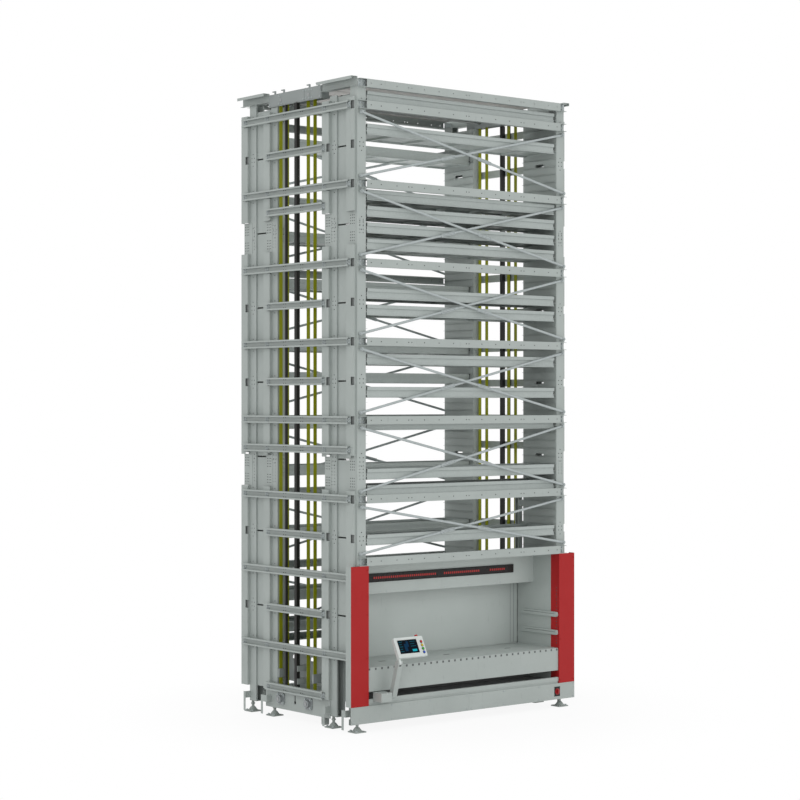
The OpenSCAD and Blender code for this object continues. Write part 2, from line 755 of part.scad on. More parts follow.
// Bearing units: square flanges with a round housing, outside the bottom plates and
// inside the drive boxes.
module bearing_unit(boss) {
  h = hub_t + boss;
  rotate([0, -90, 0]) difference() {
    union() {
      linear_extrude(hub_t) rounded(hub_d, hub_d, hub_d * 0.2);
      cylinder(d = hub_d * 0.62, h = h);
    }
    translate([0, 0, -e]) cylinder(d = shaft_d + 2 * bearing_gap, h = h + 2 * e);
    for (x = [-1, 1], y = [-1, 1]) translate([x, y, 0] * hub_d * 0.35 + [0, 0, -e])
      cylinder(d = bolt_hole, h = hub_t + 2 * e);
  }
}
module bearing_units() color(dark) seat() sides() for (s = [-1, 1]) {
  translate([-plate_low_x, lift_y + s * pulley_half, low_axis]) bearing_unit(hub_long);
  translate([-box_in - box_t, lift_y + s * pulley_half, high_axis]) bearing_unit(hub_boss);
}

// Feet: a tapered pad with a stem and a nut, and the plate under the upright.
module foot(i) {
  y = rear_edges[i] - foot_laps[i];
  translate([-out_x + foot_in, y, 0]) {
    translate([-foot_w / 2, -foot_w / 2, 0]) cube([foot_w, foot_w, 14]);
    translate([0, 0, 14 - 0.01]) cylinder(d1 = foot_w * 0.8, d2 = 56, h = 46);
    cylinder(d = 36, h = upright_foot - 2);
    translate([0, 0, upright_foot - 56]) cylinder(d = 58, h = 14, $fn = 6);
  }
  translate([-out_x, rear_edges[i] - upright_d, upright_foot - 10]) cube([upright_w, upright_d, 10]);
}
module feet() color(dark) seat() sides() for (i = [0 : 3]) foot(i);

// Base panel: two folded halves with a seam, and the switch's backing plate.
module base_panel() color(steel) seat() {
  d = front_y - base_tube_y;
  for (h = [[-base_half, 20], [20 + seam, base_half]])
    translate([(h[0] + h[1]) / 2, -front_y, 0]) along_x(h[1] - h[0])
      sheet([[d, base_low + 70], [d, base_low], [0, base_low],
             [0, base_high], [d, base_high], [d, base_high - 40]], -panel_t);
  translate([switch_x - switch_w / 2, -front_y - switch_t, switch_z - switch_h / 2])
    cube([switch_w, switch_t + e, switch_h]);
}

// Red corner covers, folded round the corner uprights at the bay, with a light curtain.
module red_cover() {
  difference() {
    along_z(cover_low, bay_top) translate([0, 0])
      sheet([[-in_x + panel_t, -front_y + cover_d], [-in_x + panel_t, -front_y],
             [-base_half, -front_y], [-base_half, -front_y + 100]], -panel_t);
    for (z = [table_z + 60 : curtain_pitch : fascia_low - 20])
      translate([-in_x - e, -front_y + 0.33 * cover_d, z]) rotate([0, 90, 0])
        cylinder(d = curtain_hole, h = panel_t + 2 * e, $fn = 16);
  }
}
module red_covers() color(red) seat() sides() red_cover();

// Bay: side walls, runner rails with rounded front ends, and the table with its apron.
module rail(z, y0, y1) {
  r = rail_h * 0.3;
  translate([-wall_x, (y0 + y1) / 2, z]) rotate([90, 0, 90]) linear_extrude(rail_w) difference() {
    rounded(y1 - y0, rail_h, r);
    translate([0, rail_h * 0.12]) square([y1 - y0 - 4 * r, 5], center = true);
  }
}
module bay_frame() color(steel) seat() {
  y_in = -shaft_fore + front_reach_in;
  sides() {
    translate([-in_x, -front_y + cover_d, cover_low])
      cube([plate_t, y_in + front_y - cover_d, bay_top - cover_low]);
    for (z = [rail_low, rail_high]) rail(z, -front_y + 22, y_in);
  }
  difference() {
    along_x(2 * wall_x)
      sheet([[-apron_y + 30, apron_low], [-apron_y, apron_low], [-apron_y, table_z],
             [-table_rear, table_z], [-table_rear, table_z - 35]], -panel_t);
    for (i = [-16 : 16]) translate([i * apron_pitch, -apron_y - e, table_z - 20])
      rotate([-90, 0, 0]) cylinder(d = apron_hole, h = panel_t + 2 * e);
    for (i = [-1 : 1]) translate([i * 0.33 * clear_w, -(apron_y + table_rear) / 2, table_z - panel_t - e])
      linear_extrude(panel_t + 2 * e) rounded(60, 14, 6.9);
  }
}

// Fascia: hood and front in one folded sheet over the bay, with the display band on it.
module fascia() color(steel) seat()
  along_x(2 * wall_x)
    sheet([[-front_y + beam_t, bay_top - panel_t], [-fascia_y, bay_top - panel_t],
           [-fascia_y, fascia_low], [-fascia_y + 25, fascia_low]], panel_t);
module led_display() color(black) seat()
  translate([-led_l / 2, -fascia_y - 12, led_z]) cube([led_l, 12, led_h]);

// Shutter posts: channels beside the shutter, open towards it, each held to the bay's wall
// and to the side plate by a bracket.
module shutter_posts() color(steel) seat() sides() {
  w = shutter_post; l = shutter_lip;
  y_wall = -shaft_fore + front_reach_in - bracket_l;
  translate([-post_x, -shutter_y - w / 2, 0]) along_z(0, shutter_top)
    sheet([[w, l], [w, 0], [0, 0], [0, w], [w, w], [w, w - l]], post_t);
  for (z = [cover_low + bracket_h, shutter_top - 2 * bracket_h])
    translate([-in_x - post_t, y_wall, z])
      cube([post_t, -shutter_y - w / 2 + l / 2 - y_wall, bracket_h]);
}

// Shutter: a folded panel with two carriers a side, each with a block in its post.
module shutter() color(steel) seat() {
  z0 = table_z + shutter_gap; half = shutter_half; t = shutter_t; w = shutter_post;
  translate([0, -shutter_y - t / 2, 0]) along_x(2 * half)
    sheet([[t, z0 + 24], [t, z0], [0, z0], [0, z0 + shutter_h], [t, z0 + shutter_h],
           [t, z0 + shutter_h - 24]], -panel_t);
  sides() for (z = [z0 + 70, z0 + shutter_h - 130]) {
    translate([-post_x + 20, -shutter_y - t / 2 + e, z])
      cube([post_x - 20 - half + 60, t / 2 + 8, 60]);
    translate([-post_x + 6, -shutter_y - w / 2 + shoe_gap, z])
      cube([w - 12, w - 2 * shoe_gap, 60]);
  }
}

// Guide posts: a thick one a side, and a thin one a side placed alike after half a turn.
module post(y, w) {
  z0 = bottom_top + post_seat;
  h = box_low - post_seat - z0;
  translate([-post_line - w / 2, y - w / 2, z0]) difference() {
    cube([w, w, h]);
    translate([4, 4, 10]) cube([w - 8, w - 8, h]);
  }
}
module half_turn() { children(); translate([0, 2 * lift_y, 0]) rotate(180) children(); }
module guide_posts() color(black) seat() {
  sides() post(lift_y - post_off, post_w);
  half_turn() post(lift_y + thin_off, thin_w);
}

// Belts: four flat loops over the pulleys.
module loop(r) {
  translate([0, low_axis]) circle(r, $fn = 64);
  translate([0, high_axis]) circle(r, $fn = 64);
  translate([-r, low_axis]) square([2 * r, high_axis - low_axis]);
}
module belts() color(olive) seat() sides()
  for (s = [-1, 1]) translate([-belt_x, lift_y + s * pulley_half, 0]) along_x(belt_w)
    difference() { loop(pulley_r + belt_gap + belt_t); loop(pulley_r + belt_gap); }

// Cross shafts: a shaft over the whole width with a flanged pulley at each end.
module cross_shaft(s, z, x1) color(dark) seat() translate([0, lift_y + s * pulley_half, z]) {
  rotate([0, 90, 0]) cylinder(d = shaft_d, h = 2 * x1, center = true);
  sides() translate([-belt_x, 0, 0]) rotate([0, 90, 0]) {
    cylinder(r = pulley_r, h = 2 * pulley_x - flange_t, center = true, $fn = 64);
    for (q = [-1, 1]) translate([0, 0, q * (pulley_x - flange_t / 2)])
      cylinder(r = flange_r, h = flange_t, center = true, $fn = 64);
  }
}

low_half = plate_low_x + hub_t + hub_long + shaft_end;
high_half = box_x + shaft_end;

// Lift carriage: two cheeks with guide shoes, belt clamps and tray ledges, and two cross tubes.
module clamp(s) {
  y = lift_y + s * (pulley_half + strand);
  w = belt_w + 2 * shoe_gap; t = belt_t + 2 * shoe_gap;
  x1 = belt_x + w / 2 + 10;
  translate([0, y, seat_z - clamp_drop]) difference() {
    translate([-x1, -t / 2 - shoe_t, 0]) cube([x1 - cheek_x - cheek_t + e, t + 2 * shoe_t, clamp_h]);
    translate([-belt_x - w / 2, -t / 2, -e]) cube([w, t, clamp_h + 2 * e]);
  }
}
module shoe(z) {
  g = post_w + 2 * shoe_gap;
  x1 = post_line + g / 2;
  translate([0, lift_y - post_off, z]) difference() {
    translate([-x1 + 6, -g / 2 - shoe_t, 0])
      cube([x1 - 6 - cheek_x - cheek_t + e, g + 2 * shoe_t, shoe_h]);
    translate([-x1 - e, -g / 2, -e]) cube([g + e, g, shoe_h + 2 * e]);
  }
}
module carriage_side() {
  translate([-cheek_x - cheek_t, lift_y - cheek_half, seat_z - cheek_down])
    difference() {
      cube([cheek_t, 2 * cheek_half, cheek_down + cheek_up]);
      for (y = [0.5, 1.5]) translate([-e, y * cheek_half, cheek_down + 0.5 * cheek_up])
        rotate([0, 90, 0]) cylinder(d = 70, h = cheek_t + 2 * e);
    }
  translate([-cheek_x, 0, seat_z + ear_rise - seat_gap])
    along_y(lift_y - tray_d / 2, lift_y + tray_d / 2)
      sheet([[0, -30], [0, 0], [cheek_gap + ear_w - 7, 0]], -plate_t);
  for (s = [-1, 1]) clamp(s);
  for (z = [seat_z - cheek_down, seat_z - shoe_drop]) shoe(z);
}
module carriage() color(dark) seat() {
  sides() carriage_side();
  for (s = [-1, 1]) translate([0, lift_y + s * 200 - tube_w / 2, seat_z - tube_drop - tube_w])
    along_x(2 * cheek_x) difference() {
      square([tube_w, tube_w]);
      translate([5, 5]) square([tube_w - 10, tube_w - 10]);
    }
}

// Tray extractor: two hook bars on a sliding frame over the carriage's cross tubes.
module extractor() color(steel) seat() {
  x1 = tray_half - 120; z0 = seat_z - tube_drop + seat_gap; d = 260;
  sides() {
    translate([-x1 - 50, lift_y - d, z0]) cube([50, 2 * d, 40]);
    for (s = [-1, 1]) translate([-x1 - 38, lift_y + s * (d - 16) - 16, z0 + 40 - e])
      cube([26, 32, 18 + e]);
  }
  for (y = [-120, 60]) translate([0, lift_y + y, z0]) along_x(2 * x1)
    difference() { square([60, 36]); translate([3, 3]) square([54, 30]); }
}

// A tray: folded front and rear rims, a raised floor with ribs under it, end plates, and
// ears that ride on the ledges, each a seam apart. Its lower front edge is at the origin.
module tray() {
  t = tray_t; d = tray_d; h = tray_h; r0 = h - rim_h;
  wall = [[rim_out, 0], [rim_out, r0], [0, r0], [0, h], [rim_d, h], [rim_d, h - 30]];
  inner = 2 * (tray_half - t - tray_seam);
  y0 = rim_out + t + tray_seam;
  along_x(inner) {
    sheet(wall, -t);
    translate([d, 0]) mirror([1, 0]) sheet(wall, -t);
    translate([y0, floor_rise]) square([d - 2 * y0, t]);
  }
  for (x = [-2 : 2]) translate([x * 0.36 * tray_half, 0, 0]) along_y(y0, d - y0)
    sheet([[-30, floor_rise + t / 2], [-24, 0], [24, 0], [30, floor_rise + t / 2]], t);
  sides() {
    translate([-tray_half, 0, 0]) rotate([90, 0, 90]) linear_extrude(t)
      polygon([[rim_out, 0], [rim_out, r0], [0, r0], [0, h],
               [d, h], [d, r0], [d - rim_out, r0], [d - rim_out, 0]]);
    translate([-ear_x, 0, ear_rise]) cube([ear_w - tray_seam, d, ear_t]);
  }
}
module tray_front(i) color(steel) seat() translate([0, -tray_front, place_z(front_places[i])]) tray();
module tray_rear(i) color(steel) seat() translate([0, tray_rear, place_z(rear_places[i])]) tray();

// Main switch: a round handle with a grip across it.
module main_switch() color(black) seat()
  translate([switch_x, -front_y - switch_t - 0.5, switch_z]) rotate([90, 0, 0]) {
    cylinder(d = switch_d, h = 10);
    translate([-0.18 * switch_d, -0.47 * switch_d, 9]) cube([0.36 * switch_d, 0.94 * switch_d, 18]);
  }

// Console base: a box on the front rail with the arm's pivot pin on its right side.
module console_base() color(steel) seat() {
  translate([-cb_x, -cb_y - cb_w, cb_z]) cube([cb_w, cb_w, cb_h]);
  translate([-cb_x + cb_w - e, arm_y, arm_z]) rotate([0, 90, 0]) {
    cylinder(d = pin_d + 26, h = 20 + e);
    cylinder(d = pin_d, h = 21 + e + arm_w + 6);
  }
}

// Console arm: leans forward from its pivot and ends in a fork with the head's pin.
module console_arm() color(steel) seat() {
  bore = pin_d + 2 * bearing_gap;
  fork = arm_w * 0.5;
  difference() {
    translate([arm_x - arm_w / 2, arm_y, arm_z]) rotate([90, 0, 90]) rotate(arm_lean)
      linear_extrude(arm_w) {
        circle(d = arm_t);
        translate([-arm_t / 2, 0]) square([arm_t, arm_l]);
        translate([0, arm_l]) circle(d = arm_t);
      }
    translate([arm_x - arm_w, arm_y, arm_z]) rotate([0, 90, 0]) cylinder(d = bore, h = 2 * arm_w);
    translate([arm_x, tip_y, tip_z]) rotate([-head_tilt, 0, 0]) rotate([0, 90, 0])
      cylinder(d = arm_t + 30, h = fork, center = true);
  }
  translate([arm_x, tip_y, tip_z]) rotate([0, 90, 0]) cylinder(d = pin_d, h = arm_w, center = true);
}

// Console head: a rounded panel with button holes and a lug in the arm's fork.
// Inside its own frame the face looks along -Y and the pivot is at the origin.
module head_place() { seat() translate([0, tip_y, tip_z]) rotate([-head_tilt, 0, 0]) children(); }
function button_x() = head_x + head_w - 40;
function button_z(i) = head_rise + head_h - 73 - i * button_pitch;
module face_disc(x, z, y0, y1, d) {
  translate([x, y1, z]) rotate([90, 0, 0]) cylinder(d = d, h = y1 - y0);
}
stop_x = head_x + head_w - 72;
stop_y = -head_fore + head_t / 2;
module console_head() color([0.84, 0.86, 0.85]) head_place() difference() {
  union() {
    translate([head_x + head_w / 2, -head_fore + head_t, head_rise + head_h / 2]) rotate([90, 0, 0])
      linear_extrude(head_t) rounded(head_w, head_h, head_r);
    translate([arm_x - arm_w * 0.25 + 1, 0, 0]) rotate([90, 0, 90]) linear_extrude(arm_w * 0.5 - 2) {
      circle(d = arm_t - 4);
      translate([-30, 0]) square([30, head_rise + 20]);
    }
  }
  translate([arm_x - arm_w, 0, 0]) rotate([0, 90, 0])
    cylinder(d = pin_d + 2 * bearing_gap, h = 2 * arm_w);
  translate([screen_x - screen_w / 2, -head_fore - e, screen_z - screen_h / 2])
    cube([screen_w, 4 + e, screen_h]);
  for (i = [0 : 3])
    face_disc(button_x(), button_z(i), -head_fore - e, -head_fore + 14, button_d + 2 * button_gap);
  translate([stop_x, stop_y, head_rise + head_h - 16]) cylinder(d = 22 + 2 * button_gap, h = 16 + e);
}
screen_x = head_x + 50 + screen_w / 2;
screen_z = head_rise + head_h - 38 - screen_h / 2;
module console_screen() color([0.05, 0.12, 0.2]) head_place()
  translate([screen_x - screen_w / 2, -head_fore + 1, screen_z - screen_h / 2]) cube([screen_w, 3, screen_h]);
module button(i, c) color(c) head_place()
  face_disc(button_x(), button_z(i), -head_fore - 8, -head_fore + 14 - button_travel - 2, button_d);
module stop_button() color(red) head_place() translate([stop_x, stop_y, 0]) {
  translate([0, 0, head_rise + head_h - 16 + button_travel + 2]) cylinder(d = 22, h = 26);
  translate([0, 0, head_rise + head_h + button_travel + 3]) cylinder(d1 = stop_d, d2 = stop_d * 0.86, h = 16);
}

uprights();
stiffeners();
cross_beams();
side_beams();
side_plates();
braces();
roof_rails();
drive_boxes();
base_frame();
bearing_units();
feet();
base_panel();
red_covers();
bay_frame();
fascia();
led_display();
shutter_posts();
guide_posts();
belts();
console_base();
shutter();
carriage();
extractor();
cross_shaft(-1, low_axis, low_half);  // low_shaft_front
cross_shaft(1, low_axis, low_half);  // low_shaft_rear
cross_shaft(-1, high_axis, high_half);  // high_shaft_front
cross_shaft(1, high_axis, high_half);  // high_shaft_rear
main_switch();
console_arm();
console_head();
console_screen();
button(0, [0.75, 0.1, 0.1]);  // button_red
button(1, [0.8, 0.7, 0.1]);  // button_yellow
button(2, [0.15, 0.65, 0.2]);  // button_green
button(3, [0.15, 0.35, 0.8]);  // button_blue
stop_button();
for (i = [0 : len(front_places) - 1])
  tray_front(i);
for (i = [0 : len(rear_places) - 1])
  tray_rear(i);
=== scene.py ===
import json
import math

import bmesh
import bpy
from mathutils import Matrix, Vector


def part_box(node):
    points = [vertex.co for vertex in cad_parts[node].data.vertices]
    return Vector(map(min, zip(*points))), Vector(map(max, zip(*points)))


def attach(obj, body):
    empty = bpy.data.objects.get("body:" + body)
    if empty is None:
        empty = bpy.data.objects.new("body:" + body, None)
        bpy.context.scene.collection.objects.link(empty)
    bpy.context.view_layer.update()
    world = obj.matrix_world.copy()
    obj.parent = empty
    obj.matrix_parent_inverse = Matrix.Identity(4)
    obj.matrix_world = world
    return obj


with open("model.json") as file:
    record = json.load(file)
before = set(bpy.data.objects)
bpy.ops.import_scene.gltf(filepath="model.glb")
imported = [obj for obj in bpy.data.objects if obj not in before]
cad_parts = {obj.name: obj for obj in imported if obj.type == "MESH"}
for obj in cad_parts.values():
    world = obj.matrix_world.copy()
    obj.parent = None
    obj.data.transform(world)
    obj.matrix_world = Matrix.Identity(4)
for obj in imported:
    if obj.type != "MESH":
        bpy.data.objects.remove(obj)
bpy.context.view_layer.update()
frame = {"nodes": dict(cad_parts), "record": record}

# Levelling feet: grey iron castings with a threaded stem and a lock nut. Each stands on a
# square pad that is held to the hall floor by two zinc-plated anchor bolts.
MIDDLE = (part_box("cross_beams")[0][1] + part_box("cross_beams")[1][1]) / 2
FOOT_TONE = (0.56, 0.59, 0.575)
FOOT_ROWS = (-1.080, -0.615, 0.620, 1.100)
FOOT_PAD = 0.014
ANCHOR_X = 1.7302
ANCHOR_OUT = 0.058
ANCHOR_BOLT = 0.024
ZINC_TONE = (0.66, 0.69, 0.69)
WASHER = (0.95, 0.0, 0.16, 10)
BOLT_HEAD = (0.56, 0.16, 0.62, 6)
BOLT_TAPER = 0.93


def tone(r, g, b):
    """An sRGB colour as the linear colour that a shader takes."""
    return tuple(c / 12.92 if c <= 0.04045 else ((c + 0.055) / 1.055) ** 2.4 for c in (r, g, b)) + (1.0,)


def shade(colour, step):
    """A colour made lighter or darker by a step."""
    return tone(*[c + step for c in colour])


def shader(name):
    """A new material with its node tree, its main shader and its Object coordinates."""
    made = bpy.data.materials.new(name)
    made.use_nodes = True
    nodes = made.node_tree.nodes
    coords = nodes.new("ShaderNodeTexCoord")
    return made, made.node_tree, nodes["Principled BSDF"], coords.outputs["Object"]


def noise(tree, where, scale, detail=3.0, stretch=None):
    """Noise on Object coordinates, drawn out by a Mapping where stretch is given."""
    if stretch:
        turn = tree.nodes.new("ShaderNodeMapping")
        turn.inputs["Scale"].default_value = stretch
        tree.links.new(where, turn.inputs["Vector"])
        where = turn.outputs["Vector"]
    made = tree.nodes.new("ShaderNodeTexNoise")
    made.inputs["Scale"].default_value = scale
    made.inputs["Detail"].default_value = detail
    tree.links.new(where, made.inputs["Vector"])
    return made.outputs["Fac"]


def spread(tree, fac, low, high, start=0.3, end=0.7):
    """A texture's value spread over a range, such as a range of roughness."""
    made = tree.nodes.new("ShaderNodeMapRange")
    made.inputs["From Min"].default_value = start
    made.inputs["From Max"].default_value = end
    made.inputs["To Min"].default_value = low
    made.inputs["To Max"].default_value = high
    tree.links.new(fac, made.inputs["Value"])
    return made.outputs["Result"]


def blend_tones(tree, fac, low, high):
    """A colour between two tones or two colours of the tree."""
    made = tree.nodes.new("ShaderNodeMix")
    made.data_type = "RGBA"
    for socket, held in (("A", low), ("B", high)):
        if isinstance(held, tuple):
            made.inputs[socket].default_value = held
        else:
            tree.links.new(held, made.inputs[socket])
    tree.links.new(fac, made.inputs["Factor"])
    return made.outputs["Result"]


def relief(tree, fac, bsdf, strength, depth):
    """A bump on the main shader."""
    made = tree.nodes.new("ShaderNodeBump")
    made.inputs["Strength"].default_value = strength
    made.inputs["Distance"].default_value = depth
    tree.links.new(fac, made.inputs["Height"])
    tree.links.new(made.outputs["Normal"], bsdf.inputs["Normal"])


def mottled(name, low, high, scale, detail, rough, rough_scale):
    """A material whose tone and roughness drift over its surface."""
    made, tree, bsdf, where = shader(name)
    drift = blend_tones(tree, noise(tree, where, scale, detail), low, high)
    tree.links.new(drift, bsdf.inputs["Base Color"])
    tree.links.new(spread(tree, noise(tree, where, rough_scale), *rough), bsdf.inputs["Roughness"])
    return made, tree, bsdf, where


def finish_of(material, *nodes):
    """The CAD nodes take this material."""
    for node in nodes:
        held = frame["nodes"][node].data.materials
        held.clear()
        held.append(material)


def facing(at, out):
    """A place whose z axis looks along a direction."""
    return Matrix.Translation(at) @ Vector(out).to_track_quat("Z", "Y").to_matrix().to_4x4()


def hex_bolt(bm, at, out, across):
    """A hexagon head on its washer, each given by radius, foot, top and number of sides."""
    for wide, low, high, sides in (WASHER, BOLT_HEAD):
        bmesh.ops.create_cone(bm, cap_ends=True, segments=sides, radius1=across * wide,
                              radius2=across * wide * BOLT_TAPER, depth=across * (high - low),
                              matrix=facing(at, out) @ Matrix.Translation((0, 0, across * (low + high) / 2)))


def put_on(name, bm, material, body):
    """A finished mesh as a piece that rides on a body."""
    mesh = bpy.data.meshes.new(name)
    bm.to_mesh(mesh)
    bm.free()
    mesh.materials.append(material)
    made = bpy.data.objects.new(name, mesh)
    bpy.context.scene.collection.objects.link(made)
    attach(made, body)


foot_iron, tree, bsdf, where = mottled("foot_iron", shade(FOOT_TONE, -0.05), shade(FOOT_TONE, 0.05),
                                       40.0, 5.0, (0.45, 0.65), 60.0)
relief(tree, noise(tree, where, 240.0, 4.0), bsdf, 0.3, 0.001)
finish_of(foot_iron, "feet")
zinc, tree, bsdf, where = mottled("zinc_plate", shade(ZINC_TONE, -0.06), shade(ZINC_TONE, 0.05),
                                  30.0, 3.0, (0.34, 0.52), 90.0)
bsdf.inputs["Metallic"].default_value = 0.3
anchors = bmesh.new()
for side in (-1, 1):
    for row in FOOT_ROWS:
        for along in (-ANCHOR_OUT, ANCHOR_OUT):
            hex_bolt(anchors, (side * ANCHOR_X, MIDDLE + row + along, FOOT_PAD), (0, 0, 1), ANCHOR_BOLT)
put_on("foot_anchors", anchors, zinc, "frame")

# Base: welded tubes, a folded front rail and thick side plates between the feet, all in the
# frame's pale grey-green powder coat. Under the table lies a ribbed grey rubber mat, glued
# to the floor sheet and turned up at its rear edge, with a sill strip along its front.
FRAME_TONE = (0.628, 0.657, 0.645)
MAT_TONE = (0.42, 0.425, 0.425)
MAT_X = 1.570
MAT_FRONT, MAT_REAR = MIDDLE - 1.118, MIDDLE - 0.612
MAT_LOW, MAT_HIGH = 0.3472, 0.462
MAT_T = 0.004
RIB_PITCH = 0.022
RIB_HALF = 0.005
SILL_X = 1.576
SILL_Y = MIDDLE - 1.158
SILL_T = 0.003
SILL_LOW, SILL_HIGH = 0.317, 0.347


def powder_coat(name, r, g, b, gloss=0.5, change=0.03, shine=0.4):
    """Baked powder: clouded tone, a few darker handling marks, uneven satin and orange peel."""
    made, tree, bsdf, where = shader(name)
    clouds = noise(tree, where, 1.7, 4.0)
    coat = blend_tones(tree, clouds, shade((r, g, b), -change), shade((r, g, b), change))
    marks = spread(tree, noise(tree, where, 26.0, 6.0, (1.0, 1.0, 0.25)), 0.0, 0.55, 0.62, 0.82)
    worn = blend_tones(tree, marks, coat, tone(r * 0.86, g * 0.86, b * 0.86))
    tree.links.new(worn, bsdf.inputs["Base Color"])
    satin = spread(tree, noise(tree, where, 6.0), gloss - 0.08, gloss + 0.08)
    tree.links.new(satin, bsdf.inputs["Roughness"])
    relief(tree, noise(tree, where, 420.0, 2.0), bsdf, 0.12, 0.0004)
    bsdf.inputs["Specular IOR Level"].default_value = shine
    return made


def slab(bm, low, high, edge=0.0):
    """A plate between two corners, its edges broken where edge is given."""
    made = bmesh.ops.create_cube(bm, size=1.0)["verts"]
    bmesh.ops.scale(bm, vec=[b - a for a, b in zip(low, high)], verts=made)
    bmesh.ops.translate(bm, vec=[(a + b) / 2 for a, b in zip(low, high)], verts=made)
    if edge:
        bmesh.ops.bevel(bm, geom=list({e for v in made for e in v.link_edges}), offset=edge, affect="EDGES",
                        segments=2, profile=0.5, material=-1)


frame_paint = powder_coat("frame_paint", *FRAME_TONE)
finish_of(frame_paint, "base_frame", "base_panel")
rubber, tree, bsdf, where = mottled("mat_rubber", shade(MAT_TONE, -0.02), shade(MAT_TONE, 0.035), 14.0, 5.0,
                                    (0.6, 0.8), 70.0)
relief(tree, noise(tree, where, 500.0, 3.0), bsdf, 0.2, 0.0006)
mat = bmesh.new()
slab(mat, (-MAT_X, MAT_FRONT, MAT_LOW), (MAT_X, MAT_REAR, MAT_LOW + MAT_T))
slab(mat, (-MAT_X, MAT_REAR, MAT_LOW), (MAT_X, MAT_REAR + MAT_T, MAT_HIGH))
for rib in range(int((MAT_REAR - MAT_FRONT) / RIB_PITCH)):
    at = MAT_FRONT + (rib + 0.5) * RIB_PITCH
    slab(mat, (-MAT_X, at - RIB_HALF, MAT_LOW + MAT_T / 2), (MAT_X, at + RIB_HALF, MAT_LOW + 2 * MAT_T),
         edge=0.0015)
put_on("floor_mat", mat, rubber, "frame")
sill = bmesh.new()
slab(sill, (-SILL_X, SILL_Y, SILL_LOW), (SILL_X, SILL_Y + SILL_T, SILL_HIGH), edge=0.0008)
put_on("sill_strip", sill, frame_paint, "frame")

# Uprights and stiffeners: lipped channels, rolled from punched strip and powder coated. Each
# stiffener comes in three lengths, with grey plates behind its slots as painted shade, and splice
# plates between the lengths, their holes drawn as black discs of painted shade. Slit sheets fill
# the gaps, and black discs in the spare holes are painted shade of the holes.
UPRIGHT_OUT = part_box("uprights")[1][0]
UPRIGHT_W = 0.130
FRONT_FACE, REAR_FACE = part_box("uprights")[0][1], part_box("uprights")[1][1]
BOLT_X = UPRIGHT_OUT - UPRIGHT_W / 2
LEVEL_TOP = 7.606
LEVEL_PITCH = 0.95
BEAM_H = 0.10
HALF_LEVELS = [LEVEL_TOP - LEVEL_PITCH * j / 2 - BEAM_H / 2 for j in range(15)]
STIFFENER_AT = (-1.028, -0.540, 0.700, 1.188)
SPLICED = (3, 9)
SLOT_SHADE_X, SLOT_T = 1.727, 0.002
SLOT_FRONT, SLOT_REAR = -0.0655, 0.062
SLOT_HALF = 0.062
SPLICES = (3.108, 6.077)
SPLICE_GAP = 0.400
SPLICE_FRONT, SPLICE_REAR = (-0.069, -0.069, -0.069, -0.123), 0.056
SPLICE_T = 0.003
SPLICE_ROWS = (-4.5, -3.5, -2.5, -1.5, 1.5, 2.5, 3.5, 4.5)
SPLICE_PITCH = 0.034
SPLICE_HOLES = (-0.04, -0.005, 0.03)
SHEET_GAPS = ((-0.985, -0.720, 0.915), (0.655, 0.985, 0.345))
SHEET_TOP = 7.690
SHEET_IN, SHEET_T = 0.020, 0.002
SLIT_H = 0.018
GROUP_X, GROUP_Z, GROUP_END = 0.026, 0.025, 0.076
HOLE_GROUP = [(along, rise * high) for rise in (-1, 1)
              for along, high in ((0.0, GROUP_END), (-GROUP_X, GROUP_Z), (GROUP_X, GROUP_Z))]
SHADED_HOLE_ROWS = (-0.668, 0.573, 1.052)
SHADE_DISC_R, SHADE_DISC_T = 0.0068, 0.002


def span(side, near, far):
    """The two ends of a width on one side of the machine, the lower one first."""
    return sorted((side * near, side * far))


def hole_shade_disc(bm, at, out):
    """A flat black disc in a hole, looking along a direction: painted shade of the hole."""
    bmesh.ops.create_cone(bm, cap_ends=True, segments=10, radius1=SHADE_DISC_R, radius2=SHADE_DISC_R * 0.8, depth=SHADE_DISC_T,
                          matrix=facing(Vector(at) + Vector(out) * (SHADE_DISC_T / 2), out))


finish_of(frame_paint, "uprights", "stiffeners")
# A mid grey for painted shade: the plates behind the stiffener slots and the shadow lines on the shutter.
painted_shade_grey = powder_coat("painted_shade_grey", 0.46, 0.475, 0.47, gloss=0.55, change=0.02, shine=0.2)
# Black for the real black parts, and for discs in holes as painted shade of the holes.
black_and_hole_shade = powder_coat("black_and_hole_shade", 0.10, 0.10, 0.10, gloss=0.45, change=0.01, shine=0.2)
# Grey plates inside the stiffeners behind their slots: painted shade where the slots look into the channel.
slot_shade_plates = bmesh.new()
for row in STIFFENER_AT:
    for high in [z for j, z in enumerate(HALF_LEVELS) if j not in SPLICED]:
        for side in (-1, 1):
            left, right = span(side, SLOT_SHADE_X, SLOT_SHADE_X + SLOT_T)
            slab(slot_shade_plates, (left, MIDDLE + row + SLOT_FRONT, high - SLOT_HALF),
                 (right, MIDDLE + row + SLOT_REAR, high + SLOT_HALF))
put_on("slot_shade_plates", slot_shade_plates, painted_shade_grey, "frame")
sheets = bmesh.new()
cuts = [SHEET_TOP] + [z + rise * SLIT_H / 2 for z in HALF_LEVELS for rise in (1, -1)]
for first, last, lowest in SHEET_GAPS:
    for side in (-1, 1):
        left, right = span(side, UPRIGHT_OUT - SHEET_IN, UPRIGHT_OUT - SHEET_IN - SHEET_T)
        for high, foot in zip(cuts[0::2], cuts[1::2] + [lowest]):
            if high > lowest:
                slab(sheets, (left, MIDDLE + first, foot), (right, MIDDLE + last, high), edge=0.0006)
put_on("side_sheets", sheets, frame_paint, "frame")
